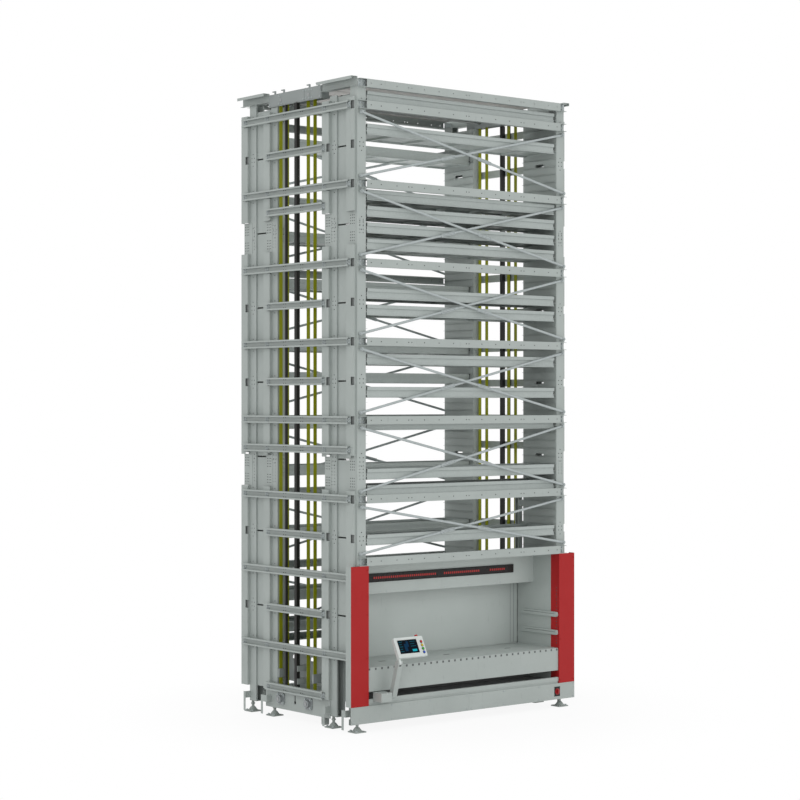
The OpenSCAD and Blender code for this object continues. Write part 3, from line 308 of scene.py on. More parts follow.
# Black discs in the flange holes and the splice plates' holes: painted shade of the holes.
flange_hole_shades = bmesh.new()
for row in SHADED_HOLE_ROWS:
    for high in HALF_LEVELS:
        for side in (-1, 1):
            for along, rise in HOLE_GROUP:
                hole_shade_disc(flange_hole_shades, (side * UPRIGHT_OUT, MIDDLE + row + along, high + rise), (side, 0, 0))
for face, out in ((FRONT_FACE, -1), (REAR_FACE, 1)):
    for high in HALF_LEVELS[1::2]:
        for side in (-1, 1):
            for across, rise in HOLE_GROUP:
                hole_shade_disc(flange_hole_shades, (side * BOLT_X + across, face, high + rise), (0, out, 0))
splice_plates = bmesh.new()
for row, front in zip(STIFFENER_AT, SPLICE_FRONT):
    for high in SPLICES:
        for side in (-1, 1):
            left, right = span(side, UPRIGHT_OUT, UPRIGHT_OUT + SPLICE_T)
            slab(splice_plates, (left, MIDDLE + row + front, high - SPLICE_GAP / 2),
                 (right, MIDDLE + row + SPLICE_REAR, high + SPLICE_GAP / 2), edge=0.0008)
            for rise in SPLICE_ROWS:
                for along in SPLICE_HOLES:
                    hole_shade_disc(flange_hole_shades, (side * (UPRIGHT_OUT + SPLICE_T), MIDDLE + row + along,
                                        high + rise * SPLICE_PITCH), (side, 0, 0))
put_on("splice_plates", splice_plates, frame_paint, "frame")
put_on("flange_hole_shades", flange_hole_shades, black_and_hole_shade, "frame")

# Cross beams: lipped channels across the front and the rear. Their webs are notched at the
# ends, where four zinc-plated bolts with washers hold each end to its upright, or to a plate
# on the roof beams. Black discs in the spare holes of the webs are painted shade of the holes.
BAY_BEAM = 2.104
ROOF_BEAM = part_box("cross_beams")[1][2]
BEAM_FACE, BEAM_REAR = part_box("cross_beams")[0][1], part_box("cross_beams")[1][1]
BEAM_BOLT = 0.024
END_IN, END_T = 0.0455, 0.004
END_HALF = 0.063
END_LOW, END_HIGH = ROOF_BEAM - 0.096, ROOF_BEAM - 0.004
SHADED_HOLE_ROW = (0.022, 0.235, 0.470, 0.705, 0.905, 0.955, 1.140, 1.385, 1.540)
front_levels = [LEVEL_TOP - LEVEL_PITCH * i for i in range(6)] + [BAY_BEAM]
rear_levels = [LEVEL_TOP - LEVEL_PITCH * i for i in range(8)]


def corners(wide, high):
    """The four places of a group of holes about its middle."""
    return [(a, b) for a in (-wide, wide) for b in (-high, high)]


def beam_end(bm, side, face, out, top):
    """The four bolts at one end of a beam, given by the height of its top."""
    for across, rise in corners(GROUP_X, GROUP_Z):
        hex_bolt(bm, (side * (BOLT_X + across), face, top - BEAM_H / 2 + rise), (0, out, 0), BEAM_BOLT)


finish_of(frame_paint, "cross_beams")
# Black discs in the beam webs' holes are painted shade of the holes.
beam_bolts, beam_hole_shades = bmesh.new(), bmesh.new()
for levels, face, web, out in ((front_levels, FRONT_FACE, BEAM_FACE, -1),
                               (rear_levels, REAR_FACE, BEAM_REAR, 1)):
    for side in (-1, 1):
        for high in levels:
            beam_end(beam_bolts, side, face, out, high)
            for x in SHADED_HOLE_ROW:
                hole_shade_disc(beam_hole_shades, (side * x, web, high - BEAM_H / 2), (0, out, 0))
        end = web - out * END_IN
        first, last = sorted((end, end - out * END_T))
        slab(beam_bolts, (side * BOLT_X - END_HALF, first, END_LOW),
             (side * BOLT_X + END_HALF, last, END_HIGH), edge=0.001)
        beam_end(beam_bolts, side, end, out, ROOF_BEAM)
put_on("beam_bolts", beam_bolts, zinc, "frame")
put_on("beam_hole_shades", beam_hole_shades, black_and_hole_shade, "frame")

# Side beams and side plates: lipped channels open outwards, bolted through their webs to the
# stiffeners, and pressed sheets. Black discs in the spare holes of the webs are painted shade.
LIFT_AT = MIDDLE + 0.130
SIDE_WEB = 1.754
SIDE_H = 0.095
SIDE_BOLT = 0.022
BOLTS_IN = 0.018
SIDE_GROUP = corners(0.018, 0.02)
SPLICE_BEAMS = (3.444, 6.420)
LONG_AT = [LEVEL_TOP - LEVEL_PITCH * i for i in range(8)] + [SPLICE_BEAMS[0]]
SHORT_AT = [LEVEL_TOP - LEVEL_PITCH * j / 2 for j in (1, 5, 7, 11, 13)] + [0.431, SPLICE_BEAMS[1]]
SHORT_ENDS = (-0.516, 0.676)
WEB_ROWS = (-0.19, 0.17)
WEB_GROUP = corners(0.022, 0.022)
finish_of(frame_paint, "side_beams", "side_plates")
# Black discs in the side beam webs' holes are painted shade of the holes.
side_bolts, web_hole_shades = bmesh.new(), bmesh.new()
for heights, rows in ((LONG_AT, STIFFENER_AT), (SHORT_AT, SHORT_ENDS)):
    for high in heights:
        for side in (-1, 1):
            for row in rows:
                inward = -BOLTS_IN if row > 0 else BOLTS_IN
                for along, rise in SIDE_GROUP:
                    hex_bolt(side_bolts, (side * SIDE_WEB, MIDDLE + row + inward + along,
                                          high - SIDE_H / 2 + rise), (side, 0, 0), SIDE_BOLT)
            for row in WEB_ROWS:
                for along, rise in WEB_GROUP:
                    hole_shade_disc(web_hole_shades, (side * SIDE_WEB, LIFT_AT + row + along, high - SIDE_H / 2 + rise),
                         (side, 0, 0))
put_on("side_bolts", side_bolts, zinc, "frame")
put_on("web_hole_shades", web_hole_shades, black_and_hole_shade, "frame")

# Braces: drawn steel tie rods with forged turnbuckles, zinc plated. A flattened tube is slid
# over each rod up to its turnbuckle, and a hexagon bolt through each eye holds the rod.
ROD_X = UPRIGHT_OUT - 0.040
ROD_OUT = (0.0228, 0.0468)
EYE, EYE_HALF = 0.042, 0.0088
EYE_BOLT = 0.026
TUBE_HALF, TUBE_FLAT = 0.0155, 0.74
TUBE_ENDS = 0.030
BUCKLE_LOW, BUCKLE_HIGH = -0.421, -0.179


def rod_tube(bm, low, high):
    """The two lengths of tube on a rod, from each eye to the turnbuckle below the middle."""
    along = (high - low).normalized()
    half = (high - low).length / 2
    turn = Matrix((Vector((0, 1, 0)).cross(along), (0, 1, 0), along)).transposed().to_4x4()
    for first, last in ((TUBE_ENDS - half, BUCKLE_LOW), (BUCKLE_HIGH, half - TUBE_ENDS)):
        seat = Matrix.Translation((low + high) / 2 + along * (first + last) / 2)
        bmesh.ops.create_cone(bm, cap_ends=True, segments=16, radius1=TUBE_HALF, radius2=TUBE_HALF,
                              depth=last - first, matrix=seat @ turn @ Matrix.Diagonal((1, TUBE_FLAT, 1, 1)))


finish_of(zinc, "braces")
eye_bolts, tubes = bmesh.new(), bmesh.new()
for levels, face, out in ((front_levels, FRONT_FACE, -1), (rear_levels, REAR_FACE, 1)):
    for upper, lower in zip(levels[:-1], levels[1:]):
        for foot, proud in zip((-1, 1), ROD_OUT):
            low = Vector((foot * ROD_X, face + out * proud, lower + EYE))
            high = Vector((-foot * ROD_X, face + out * proud, upper - BEAM_H - EYE))
            for at in (low, high):
                hex_bolt(eye_bolts, at, (0, out, 0), EYE_BOLT)
            axis = Vector((0, -out * EYE_HALF, 0))
            rod_tube(tubes, low + axis, high + axis)
put_on("eye_bolts", eye_bolts, zinc, "frame")
put_on("rod_tubes", tubes, zinc, "frame")

# Roof rails and drive boxes: folded sheet on the tops of the uprights. The boxes house the
# upper pulleys; their outer faces carry screwed cover plates in a darker coat.
BOX_TONE = (0.535, 0.56, 0.555)
BOX_FACE = 1.725
BOX_LOW, BOX_HIGH = 7.722, 7.858
COVERS = ((-0.545, -0.335), (-0.325, -0.215), (-0.205, 0.300), (0.310, 0.545))
COVER_T = 0.003
COVER_SCREW = 0.013
SCREW_ALONG, SCREW_UP = 0.02, 0.018
finish_of(frame_paint, "roof_rails")
drive_paint = powder_coat("drive_paint", *BOX_TONE, gloss=0.45)
finish_of(drive_paint, "drive_boxes")
cover_plates, cover_screws = bmesh.new(), bmesh.new()
for side in (-1, 1):
    left, right = span(side, BOX_FACE, BOX_FACE + COVER_T)
    for first, last in COVERS:
        slab(cover_plates, (left, LIFT_AT + first, BOX_LOW), (right, LIFT_AT + last, BOX_HIGH), edge=0.0012)
        for along in (first + SCREW_ALONG, last - SCREW_ALONG):
            for high in (BOX_LOW + SCREW_UP, BOX_HIGH - SCREW_UP):
                hex_bolt(cover_screws, (side * (BOX_FACE + COVER_T), LIFT_AT + along, high), (side, 0, 0),
                         COVER_SCREW)
put_on("drive_covers", cover_plates, drive_paint, "frame")
put_on("drive_screws", cover_screws, zinc, "frame")

# Roof sheets: four lengths of galvanised sheet on the roof beams, between the drive boxes,
# with folded ribs across them and butted joints.
ROOF_TONE = (0.755, 0.745, 0.735)
ROOF_X = 1.598
ROOF_T = 0.0015
ROOF_LENGTHS = 4
ROOF_W = 2 * ROOF_X / ROOF_LENGTHS
ROOF_JOINT, ROOF_IN = 0.001, 0.006
ROOF_RIBS = (0.25, 0.5, 0.75)
ROOF_RIB_HALF, ROOF_RIB_IN, ROOF_RIB_H = 0.02, 0.07, 0.012
roof_steel = powder_coat("roof_steel", *ROOF_TONE, gloss=0.5, change=0.025)
roof = bmesh.new()
for length in range(ROOF_LENGTHS):
    left = -ROOF_X + length * ROOF_W
    slab(roof, (left + ROOF_JOINT, BEAM_FACE + ROOF_IN, ROOF_BEAM),
         (left + ROOF_W - ROOF_JOINT, BEAM_REAR - ROOF_IN, ROOF_BEAM + ROOF_T))
    for rib in ROOF_RIBS:
        x = left + ROOF_W * rib
        slab(roof, (x - ROOF_RIB_HALF, BEAM_FACE + ROOF_RIB_IN, ROOF_BEAM + ROOF_T),
             (x + ROOF_RIB_HALF, BEAM_REAR - ROOF_RIB_IN, ROOF_BEAM + ROOF_RIB_H), edge=0.005)
put_on("roof_sheets", roof, roof_steel, "frame")

# Bearings, shafts and belts: cast flange units on the bottom plates, ground shafts with
# turned pulleys, and yellow-olive polyurethane belts with fine teeth and steel cords inside.
# A black block behind each bottom plate takes the belts' tensioning screws.
BEARING_TONE = (0.54, 0.56, 0.565)
BEARING_FACE = 1.732
BEARING_Z = 0.242
BEARING_ROWS = (-0.291, 0.291)
BEARING_GROUP = corners(0.0525, 0.0525)
BEARING_BOLT = 0.024
TENSIONER_X = (1.700, 1.709)
TENSIONER_HALF = 0.05
TENSIONER_LOW, TENSIONER_HIGH = BEARING_Z - 0.07, BEARING_Z + 0.085
BELT_TONE = (0.50, 0.52, 0.04)
TOOTH = 0.012
bearing_iron, tree, bsdf, where = mottled("bearing_iron", shade(BEARING_TONE, -0.05),
                                          shade(BEARING_TONE, 0.06), 45.0, 5.0, (0.3, 0.5), 30.0)
bsdf.inputs["Metallic"].default_value = 0.15
relief(tree, noise(tree, where, 300.0, 4.0), bsdf, 0.25, 0.0008)
finish_of(bearing_iron, "bearing_units")
bearing_bolts, tensioners = bmesh.new(), bmesh.new()
for side in (-1, 1):
    for row in BEARING_ROWS:
        for across, rise in BEARING_GROUP:
            hex_bolt(bearing_bolts, (side * BEARING_FACE, LIFT_AT + row + across, BEARING_Z + rise),
                     (side, 0, 0), BEARING_BOLT)
    left, right = span(side, *TENSIONER_X)
    slab(tensioners, (left, LIFT_AT - TENSIONER_HALF, TENSIONER_LOW),
         (right, LIFT_AT + TENSIONER_HALF, TENSIONER_HIGH), edge=0.002)
put_on("bearing_bolts", bearing_bolts, zinc, "frame")
put_on("tensioner_blocks", tensioners, black_and_hole_shade, "frame")

ground_steel, tree, bsdf, where = shader("ground_steel")
turned = noise(tree, where, 60.0, 2.0, (30.0, 1.0, 1.0))
tree.links.new(blend_tones(tree, turned, tone(0.52, 0.53, 0.53), tone(0.70, 0.71, 0.71)),
               bsdf.inputs["Base Color"])
tree.links.new(spread(tree, noise(tree, where, 80.0, 3.0, (20.0, 1.0, 1.0)), 0.26, 0.42),
               bsdf.inputs["Roughness"])
bsdf.inputs["Metallic"].default_value = 1.0
finish_of(ground_steel, "low_shaft_front", "low_shaft_rear", "high_shaft_front", "high_shaft_rear")

belt_skin, tree, bsdf, where = mottled("belt_skin", tone(*BELT_TONE), shade(BELT_TONE, 0.05), 3.0, 4.0,
                                       (0.42, 0.6), 20.0)
teeth = tree.nodes.new("ShaderNodeTexWave")
teeth.bands_direction = "Z"
teeth.inputs["Scale"].default_value = math.tau / 20.0 / TOOTH
tree.links.new(where, teeth.inputs["Vector"])
relief(tree, teeth.outputs["Fac"], bsdf, 0.5, 0.002)
bsdf.inputs["Specular IOR Level"].default_value = 0.2
finish_of(belt_skin, "belts")

# Guide posts: black anodised aluminium extrusions, bolted between the base and the roof.
# They are drawn upwards, which leaves faint die lines along them.
post_black, tree, bsdf, where = shader("post_black")
lines = noise(tree, where, 30.0, 3.0, (8.0, 8.0, 0.1))
tree.links.new(blend_tones(tree, lines, tone(0.095, 0.095, 0.09), tone(0.15, 0.15, 0.145)),
               bsdf.inputs["Base Color"])
tree.links.new(spread(tree, noise(tree, where, 40.0, 2.0, (6.0, 6.0, 0.1)), 0.3, 0.45),
               bsdf.inputs["Roughness"])
relief(tree, noise(tree, where, 120.0, 2.0, (4.0, 4.0, 0.02)), bsdf, 0.15, 0.0005)
bsdf.inputs["Specular IOR Level"].default_value = 0.25
finish_of(post_black, "guide_posts")

# Lift carriage: welded cheeks and cross tubes in grey coat, with belt clamps and guide
# shoes. The extractor that slides on it is bright zinc-plated steel.
CARRIAGE_TONE = (0.53, 0.555, 0.55)
carriage_paint = powder_coat("carriage_paint", *CARRIAGE_TONE, gloss=0.45)
finish_of(carriage_paint, "carriage")
finish_of(zinc, "extractor")

# Trays: galvanised sheet with a clear satin coat, folded to a rim at the front and the rear.
# The outer rim is rolled to a bead, and a hollow moulding under each rim stiffens the sheet.
# At each corner a black steel hook with pale plastic rollers meets the extractor.
TRAY_TONE = (0.635, 0.665, 0.655)
TRAY_HALF = 1.549
RIM_LOW = 0.085
COVE_DEEP, COVE_HIGH, COVE_FOOT = 0.010, 0.083, 0.009
COVE_STEPS = 8
COVE_ROUND = 0.002
BEAD, BEAD_ROUND = 0.007, 0.004
HOOK_X, HOOK_T = 0.016, 0.008
HOOK_IN = 0.002
HOOK_LOW, HOOK_HIGH = 0.050, 0.128
HOOK_L, HOOK_BAR = 0.056, 0.016
HOOK_SECTION = ((0.0, HOOK_LOW), (-HOOK_L, HOOK_LOW), (-HOOK_L, HOOK_HIGH), (0.0, HOOK_HIGH),
                (0.0, HOOK_HIGH - HOOK_BAR), (HOOK_BAR - HOOK_L, HOOK_HIGH - HOOK_BAR),
                (HOOK_BAR - HOOK_L, HOOK_LOW + HOOK_BAR), (0.0, HOOK_LOW + HOOK_BAR))
ROLLER_R, ROLLER_W = 0.010, 0.006
ROLLER_OUT, ROLLER_IN = 0.007, 0.012
tray_steel, tree, bsdf, where = shader("tray_steel")
spangle = tree.nodes.new("ShaderNodeTexVoronoi")
spangle.inputs["Scale"].default_value = 55.0
tree.links.new(where, spangle.inputs["Vector"])
flakes = spread(tree, spangle.outputs["Color"], 0.25, 0.75, 0.0, 1.0)
clouds = blend_tones(tree, noise(tree, where, 2.2, 4.0), shade(TRAY_TONE, -0.035), shade(TRAY_TONE, 0.02))
tree.links.new(blend_tones(tree, spread(tree, flakes, 0.0, 0.35), clouds, shade(TRAY_TONE, 0.05)),
               bsdf.inputs["Base Color"])
tree.links.new(spread(tree, noise(tree, where, 12.0), 0.36, 0.52), bsdf.inputs["Roughness"])
bsdf.inputs["Metallic"].default_value = 0.15
hook_black = powder_coat("hook_black", 0.13, 0.135, 0.135, gloss=0.4, change=0.015)
roller_white = mottled("roller_white", tone(0.80, 0.80, 0.78), tone(0.88, 0.88, 0.86), 50.0, 3.0,
                       (0.35, 0.5), 90.0)[0]


def drawn(bm, section, x, length, y, z, out):
    """A section drawn along x, given by its points out from and up a face."""
    made = [bm.verts.new((x, y + out * a, z + b)) for a, b in section]
    grown = bmesh.ops.extrude_face_region(bm, geom=[bm.faces.new(made)])["geom"]
    bmesh.ops.translate(bm, vec=(length, 0.0, 0.0),
                        verts=[v for v in grown if isinstance(v, bmesh.types.BMVert)])


def cove(proud):
    """A hollow quarter from deep under the rim out to the tray's lower edge."""
    turns = [math.pi / 2 * i / COVE_STEPS for i in range(COVE_STEPS + 1)]
    hollow = [(proud - (proud + COVE_DEEP) * math.cos(t), COVE_HIGH - (COVE_HIGH - COVE_FOOT) * math.sin(t))
              for t in turns]
    return hollow + [(proud, COVE_ROUND), (proud - COVE_ROUND, 0.0), (-COVE_DEEP, 0.0)]


def bead(high):
    """The rim's face with its edges rolled back to the sheet."""
    return [(0.0, RIM_LOW), (BEAD - BEAD_ROUND, RIM_LOW), (BEAD, RIM_LOW + BEAD_ROUND),
            (BEAD, high - BEAD_ROUND), (BEAD - BEAD_ROUND, high), (0.0, high)]


for node in [n for n in frame["nodes"] if n.startswith("tray_")]:
    finish_of(tray_steel, node)
    low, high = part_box(node)
    rims, hooks, rollers = bmesh.new(), bmesh.new(), bmesh.new()
    for y, out, outer in ((low[1], -1, "front" in node), (high[1], 1, "rear" in node)):
        drawn(rims, cove(BEAD if outer else 0.0), -TRAY_HALF, 2 * TRAY_HALF, y, low[2], out)
        if outer:
            drawn(rims, bead(high[2] - low[2]), -TRAY_HALF, 2 * TRAY_HALF, y, low[2], out)
        for side in (-1, 1):
            x = side * (high[0] - HOOK_X)
            drawn(hooks, HOOK_SECTION, x - HOOK_T / 2, HOOK_T, y - out * HOOK_IN, low[2], out)
            for z in (HOOK_LOW + HOOK_BAR / 2, HOOK_HIGH - HOOK_BAR / 2):
                at = (x + side * ROLLER_OUT, y - out * (HOOK_IN + ROLLER_IN), low[2] + z)
                bmesh.ops.create_cone(rollers, cap_ends=True, segments=12, radius1=ROLLER_R,
                                      radius2=ROLLER_R * 0.9, depth=ROLLER_W,
                                      matrix=facing(at, (side, 0, 0)))
    bmesh.ops.recalc_face_normals(rims, faces=rims.faces)
    bmesh.ops.recalc_face_normals(hooks, faces=hooks.faces)
    put_on(node + "_rims", rims, tray_steel, node)
    put_on(node + "_hooks", hooks, hook_black, node)
    put_on(node + "_rollers", rollers, roller_white, node)

# Bay: folded side walls, runner rails and a table with a perforated apron, in the frame's
# coat. Small zinc screws hold the table's sheet, jamb sheets close the walls to the shutter
# posts, and dark grey squares on the apron's holes and the table's slots are painted shade.
TABLE_Z = 0.775
TABLE_ROWS = (-1.120, -0.900, -0.680, -0.460)
TABLE_SCREW_X, TABLE_SCREW = 1.530, 0.012
WALL_X, JAMB_T = 1.577, 0.003
WALL_END, POST_LIP = MIDDLE - 0.490, MIDDLE - 0.3905
BAY_LOW, BAY_HIGH = 0.320, 2.004
APRON_FACE = MIDDLE - 1.160
APRON_ROW = TABLE_Z - 0.020
APRON_PITCH, APRON_HOLES = 0.097, 33
SHADE_SQUARE_HALF, SHADE_SQUARE_T = 0.013, 0.0016
SLOT_ROW, SLOT_PITCH = MIDDLE - 0.7695, 1.0428
SLOT_X, SLOT_Y, SLOT_SHADE_T = 0.048, 0.019, 0.001
finish_of(frame_paint, "bay_frame", "shutter_posts")
table_screws, jambs = bmesh.new(), bmesh.new()
for side in (-1, 1):
    for row in TABLE_ROWS:
        hex_bolt(table_screws, (side * TABLE_SCREW_X, MIDDLE + row, TABLE_Z), (0, 0, 1), TABLE_SCREW)
    left, right = span(side, WALL_X, WALL_X + JAMB_T)
    slab(jambs, (left, WALL_END, BAY_LOW), (right, POST_LIP, BAY_HIGH), edge=0.0008)
put_on("table_screws", table_screws, zinc, "frame")
put_on("jamb_sheets", jambs, frame_paint, "frame")
# A dark grey for painted shade in the apron's holes and the table's slots.
hole_shade_grey = powder_coat("hole_shade_grey", 0.36, 0.37, 0.37, gloss=0.5, change=0.015, shine=0.2)
hole_shades = bmesh.new()
for hole in range(APRON_HOLES):
    x = (hole - APRON_HOLES // 2) * APRON_PITCH
    slab(hole_shades, (x - SHADE_SQUARE_HALF, APRON_FACE - SHADE_SQUARE_T, APRON_ROW - SHADE_SQUARE_HALF),
         (x + SHADE_SQUARE_HALF, APRON_FACE, APRON_ROW + SHADE_SQUARE_HALF), edge=0.0007)
for x in (-SLOT_PITCH, 0.0, SLOT_PITCH):
    slab(hole_shades, (x - SLOT_X, SLOT_ROW - SLOT_Y, TABLE_Z), (x + SLOT_X, SLOT_ROW + SLOT_Y, TABLE_Z + SLOT_SHADE_T))
put_on("apron_hole_shades", hole_shades, hole_shade_grey, "frame")

# Shutter: a folded steel panel that shuts the bay off from the shaft. Two stiles and two
# rails are riveted to its face, grey strips along the stiles are painted shadow lines, and a
# folded lip closes on the table.
SHUTTER_LOW, SHUTTER_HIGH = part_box("shutter")[0][2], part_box("shutter")[1][2]
SHUTTER_X = 1.571
PANEL_FACE = MIDDLE - 0.375
STILE_W, STILE_T = 0.062, 0.0015
STILE_END = 0.004
RIVETS, RIVET = 8, 0.009
RIVET_FOOT, RIVET_PITCH = 0.06, 0.122
RAILS_AT = (0.33, 0.66)
RAIL_HALF, RAIL_T = 0.008, STILE_T * 0.6
SHADOW_LINE_AT = (SHUTTER_X - STILE_W - 0.002, SHUTTER_X - 2 * STILE_W)
SHADOW_LINE_W = 0.007
LIP_IN, LIP_NEAR, LIP_FAR = 0.01, 0.004, 0.026
LIP_LOW, LIP_HIGH = SHUTTER_LOW - 0.022, SHUTTER_LOW + 0.001
finish_of(frame_paint, "shutter")
stiles, shadow_strips = bmesh.new(), bmesh.new()
low, high = SHUTTER_LOW + STILE_END, SHUTTER_HIGH - STILE_END
for side in (-1, 1):
    left, right = span(side, SHUTTER_X, SHUTTER_X - STILE_W)
    slab(stiles, (left, PANEL_FACE - STILE_T, low), (right, PANEL_FACE, high), edge=0.0006)
    for rivet in range(RIVETS):
        hex_bolt(stiles, ((left + right) / 2, PANEL_FACE - STILE_T,
                          SHUTTER_LOW + RIVET_FOOT + rivet * RIVET_PITCH), (0, -1, 0), RIVET)
    # Grey strips beside the stiles: painted shadow lines.
    for x in SHADOW_LINE_AT:
        slab(shadow_strips, (side * x - SHADOW_LINE_W / 2, PANEL_FACE - STILE_T, low),
             (side * x + SHADOW_LINE_W / 2, PANEL_FACE, high), edge=0.0005)
for rise in RAILS_AT:
    x = SHUTTER_X - STILE_W - STILE_END
    slab(stiles, (-x, PANEL_FACE - RAIL_T, SHUTTER_LOW + rise - RAIL_HALF),
         (x, PANEL_FACE, SHUTTER_LOW + rise + RAIL_HALF), edge=0.0004)
put_on("shutter_stiles", stiles, frame_paint, "shutter")
put_on("shutter_shadow_lines", shadow_strips, painted_shade_grey, "shutter")
lip = bmesh.new()
slab(lip, (LIP_IN - SHUTTER_X, PANEL_FACE + LIP_NEAR, LIP_LOW),
     (SHUTTER_X - LIP_IN, PANEL_FACE + LIP_FAR, LIP_HIGH), edge=0.003)
put_on("shutter_lip", lip, frame_paint, "shutter")

# Fascia: the hood and front sheet over the bay, in four lengths with flat joint strips.
# Its black display band is a dot-matrix module behind smoked acrylic in a slim frame, lit
# as plain dashes.
FASCIA_FACE = MIDDLE - 0.685
FASCIA_LOW, FASCIA_HIGH = 1.606, 2.000
JOINTS_AT = (-0.951, 0.0, 0.951)
JOINT_HALF, JOINT_T, JOINT_GAP = 0.011, 0.0015, 0.014
FASCIA_SCREWS = (-1.50, -1.0, -0.90, -0.45, -0.05, 0.05, 0.45, 0.90, 1.0, 1.50)
FASCIA_SCREW_ROWS = (FASCIA_LOW + 0.02, FASCIA_HIGH - 0.03)
FASCIA_SCREW = 0.011
BAND_X = 1.203
BAND_LOW, BAND_HIGH = 1.758, 1.846
BAND_FACE = MIDDLE - 0.697
BEZEL_W, BEZEL_T = 0.010, 0.002
DOT = 0.011
DASH_GROUPS = ((-1.12, 30), (0.02, 18), (0.80, 8))
DASH_PITCH = 0.034
DASH_W, DASH_H, DASH_T = 0.018, 0.026, 0.0008
finish_of(frame_paint, "fascia")
joint_strips, fascia_screws = bmesh.new(), bmesh.new()
for x in JOINTS_AT:
    for low, high in ((FASCIA_LOW, BAND_LOW - JOINT_GAP), (BAND_HIGH + JOINT_GAP, FASCIA_HIGH)):
        slab(joint_strips, (x - JOINT_HALF, FASCIA_FACE - JOINT_T, low), (x + JOINT_HALF, FASCIA_FACE, high),
             edge=0.0006)
for x in FASCIA_SCREWS:
    for z in FASCIA_SCREW_ROWS:
        hex_bolt(fascia_screws, (x, FASCIA_FACE, z), (0, -1, 0), FASCIA_SCREW)
put_on("fascia_joints", joint_strips, frame_paint, "frame")
put_on("fascia_screws", fascia_screws, zinc, "frame")


def border(left, low, right, high, wide):
    """The four strips round a field, as pairs of corners."""
    return (((left - wide, low - wide), (right + wide, low)),
            ((left - wide, high), (right + wide, high + wide)),
            ((left - wide, low), (left, high)), ((right, low), (right + wide, high)))


display, tree, bsdf, where = shader("smoked_acrylic")
dots = tree.nodes.new("ShaderNodeTexVoronoi")
dots.inputs["Randomness"].default_value = 0.0
dots.inputs["Scale"].default_value = 1.0 / DOT
tree.links.new(where, dots.inputs["Vector"])
grid = spread(tree, dots.outputs["Distance"], 0.0, 1.0, 0.3, 0.42)
tree.links.new(blend_tones(tree, grid, tone(0.19, 0.165, 0.16), tone(0.135, 0.14, 0.14)),
               bsdf.inputs["Base Color"])
tree.links.new(spread(tree, noise(tree, where, 9.0), 0.22, 0.34), bsdf.inputs["Roughness"])
bsdf.inputs["Specular IOR Level"].default_value = 0.15
finish_of(display, "led_display")
band_frame = bmesh.new()
for low, high in border(-BAND_X, BAND_LOW, BAND_X, BAND_HIGH, BEZEL_W):
    slab(band_frame, (low[0], BAND_FACE - BEZEL_T, low[1]), (high[0], FASCIA_FACE, high[1]), edge=0.0015)
put_on("band_frame", band_frame, black_and_hole_shade, "frame")
lit, tree, bsdf, where = shader("lit_dots")
glow = blend_tones(tree, noise(tree, where, 140.0, 2.0), tone(0.44, 0.03, 0.03), tone(0.68, 0.07, 0.05))
tree.links.new(glow, bsdf.inputs["Base Color"])
tree.links.new(glow, bsdf.inputs["Emission Color"])
bsdf.inputs["Emission Strength"].default_value = 0.35
bsdf.inputs["Roughness"].default_value = 0.4
dashes = bmesh.new()
dash_low = (BAND_LOW + BAND_HIGH - DASH_H) / 2
for first, count in DASH_GROUPS:
    for dash in range(count):
        x = first + dash * DASH_PITCH
        slab(dashes, (x, BAND_FACE - DASH_T, dash_low), (x + DASH_W, BAND_FACE, dash_low + DASH_H),
             edge=0.0003)
put_on("lit_dashes", dashes, lit, "frame")

# Corner covers: powder-coated sheet folded round the corner uprights beside the bay, red
# with its outer return in the frame's grey, held by button screws. A row of grey lenses in
# each inner side is the light curtain.
COVER_TONE = (0.625, 0.125, 0.13)
COVER_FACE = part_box("red_covers")[0][1]
COVER_SCREWS_X = (1.598, 1.832)
COVER_SCREWS_Z = (0.36, 0.89, 1.42, 1.95)
BUTTON_SCREW = 0.012
RETURN_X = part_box("red_covers")[1][0]
RETURN_FADE = (0.0016, 0.001)
LENS_X, LENS_Y = 1.5766, MIDDLE - 1.1279
LENS_R, LENS_T = 0.0085, 0.002
LENSES, LENS_FOOT, LENS_PITCH = 19, TABLE_Z + 0.060, 0.040
cover_red = powder_coat("cover_red", *COVER_TONE, gloss=0.42, change=0.014, shine=0.2)
tree = cover_red.node_tree
bsdf = tree.nodes["Principled BSDF"]
place = tree.nodes.new("ShaderNodeSeparateXYZ")
tree.links.new(tree.nodes["Texture Coordinate"].outputs["Object"], place.inputs["Vector"])
reach = tree.nodes.new("ShaderNodeMath")
reach.operation = "ABSOLUTE"
tree.links.new(place.outputs["X"], reach.inputs[0])
on_return = spread(tree, reach.outputs["Value"], 0.0, 1.0, *[RETURN_X - inward for inward in RETURN_FADE])
red_coat = bsdf.inputs["Base Color"].links[0].from_socket
tree.links.new(blend_tones(tree, on_return, red_coat, tone(*FRAME_TONE)), bsdf.inputs["Base Color"])
finish_of(cover_red, "red_covers")
lens_grey = mottled("lens_grey", tone(0.29, 0.26, 0.27), tone(0.36, 0.33, 0.34), 80.0, 3.0,
                    (0.1, 0.2), 60.0)[0]
cover_fixings, lenses = bmesh.new(), bmesh.new()
for side in (-1, 1):
    for x in COVER_SCREWS_X:
        for z in COVER_SCREWS_Z:
            hex_bolt(cover_fixings, (side * x, COVER_FACE, z), (0, -1, 0), BUTTON_SCREW)
    inward = Matrix.Rotation(math.radians(-90.0 * side), 4, "Y")
    for step in range(LENSES):
        seat = Matrix.Translation((side * LENS_X, LENS_Y, LENS_FOOT + step * LENS_PITCH))
        bmesh.ops.create_cone(lenses, cap_ends=True, segments=14, radius1=LENS_R, radius2=LENS_R * 0.9,
                              depth=LENS_T, matrix=seat @ inward)
put_on("cover_screws", cover_fixings, cover_red, "frame")
put_on("curtain_lenses", lenses, lens_grey, "frame")

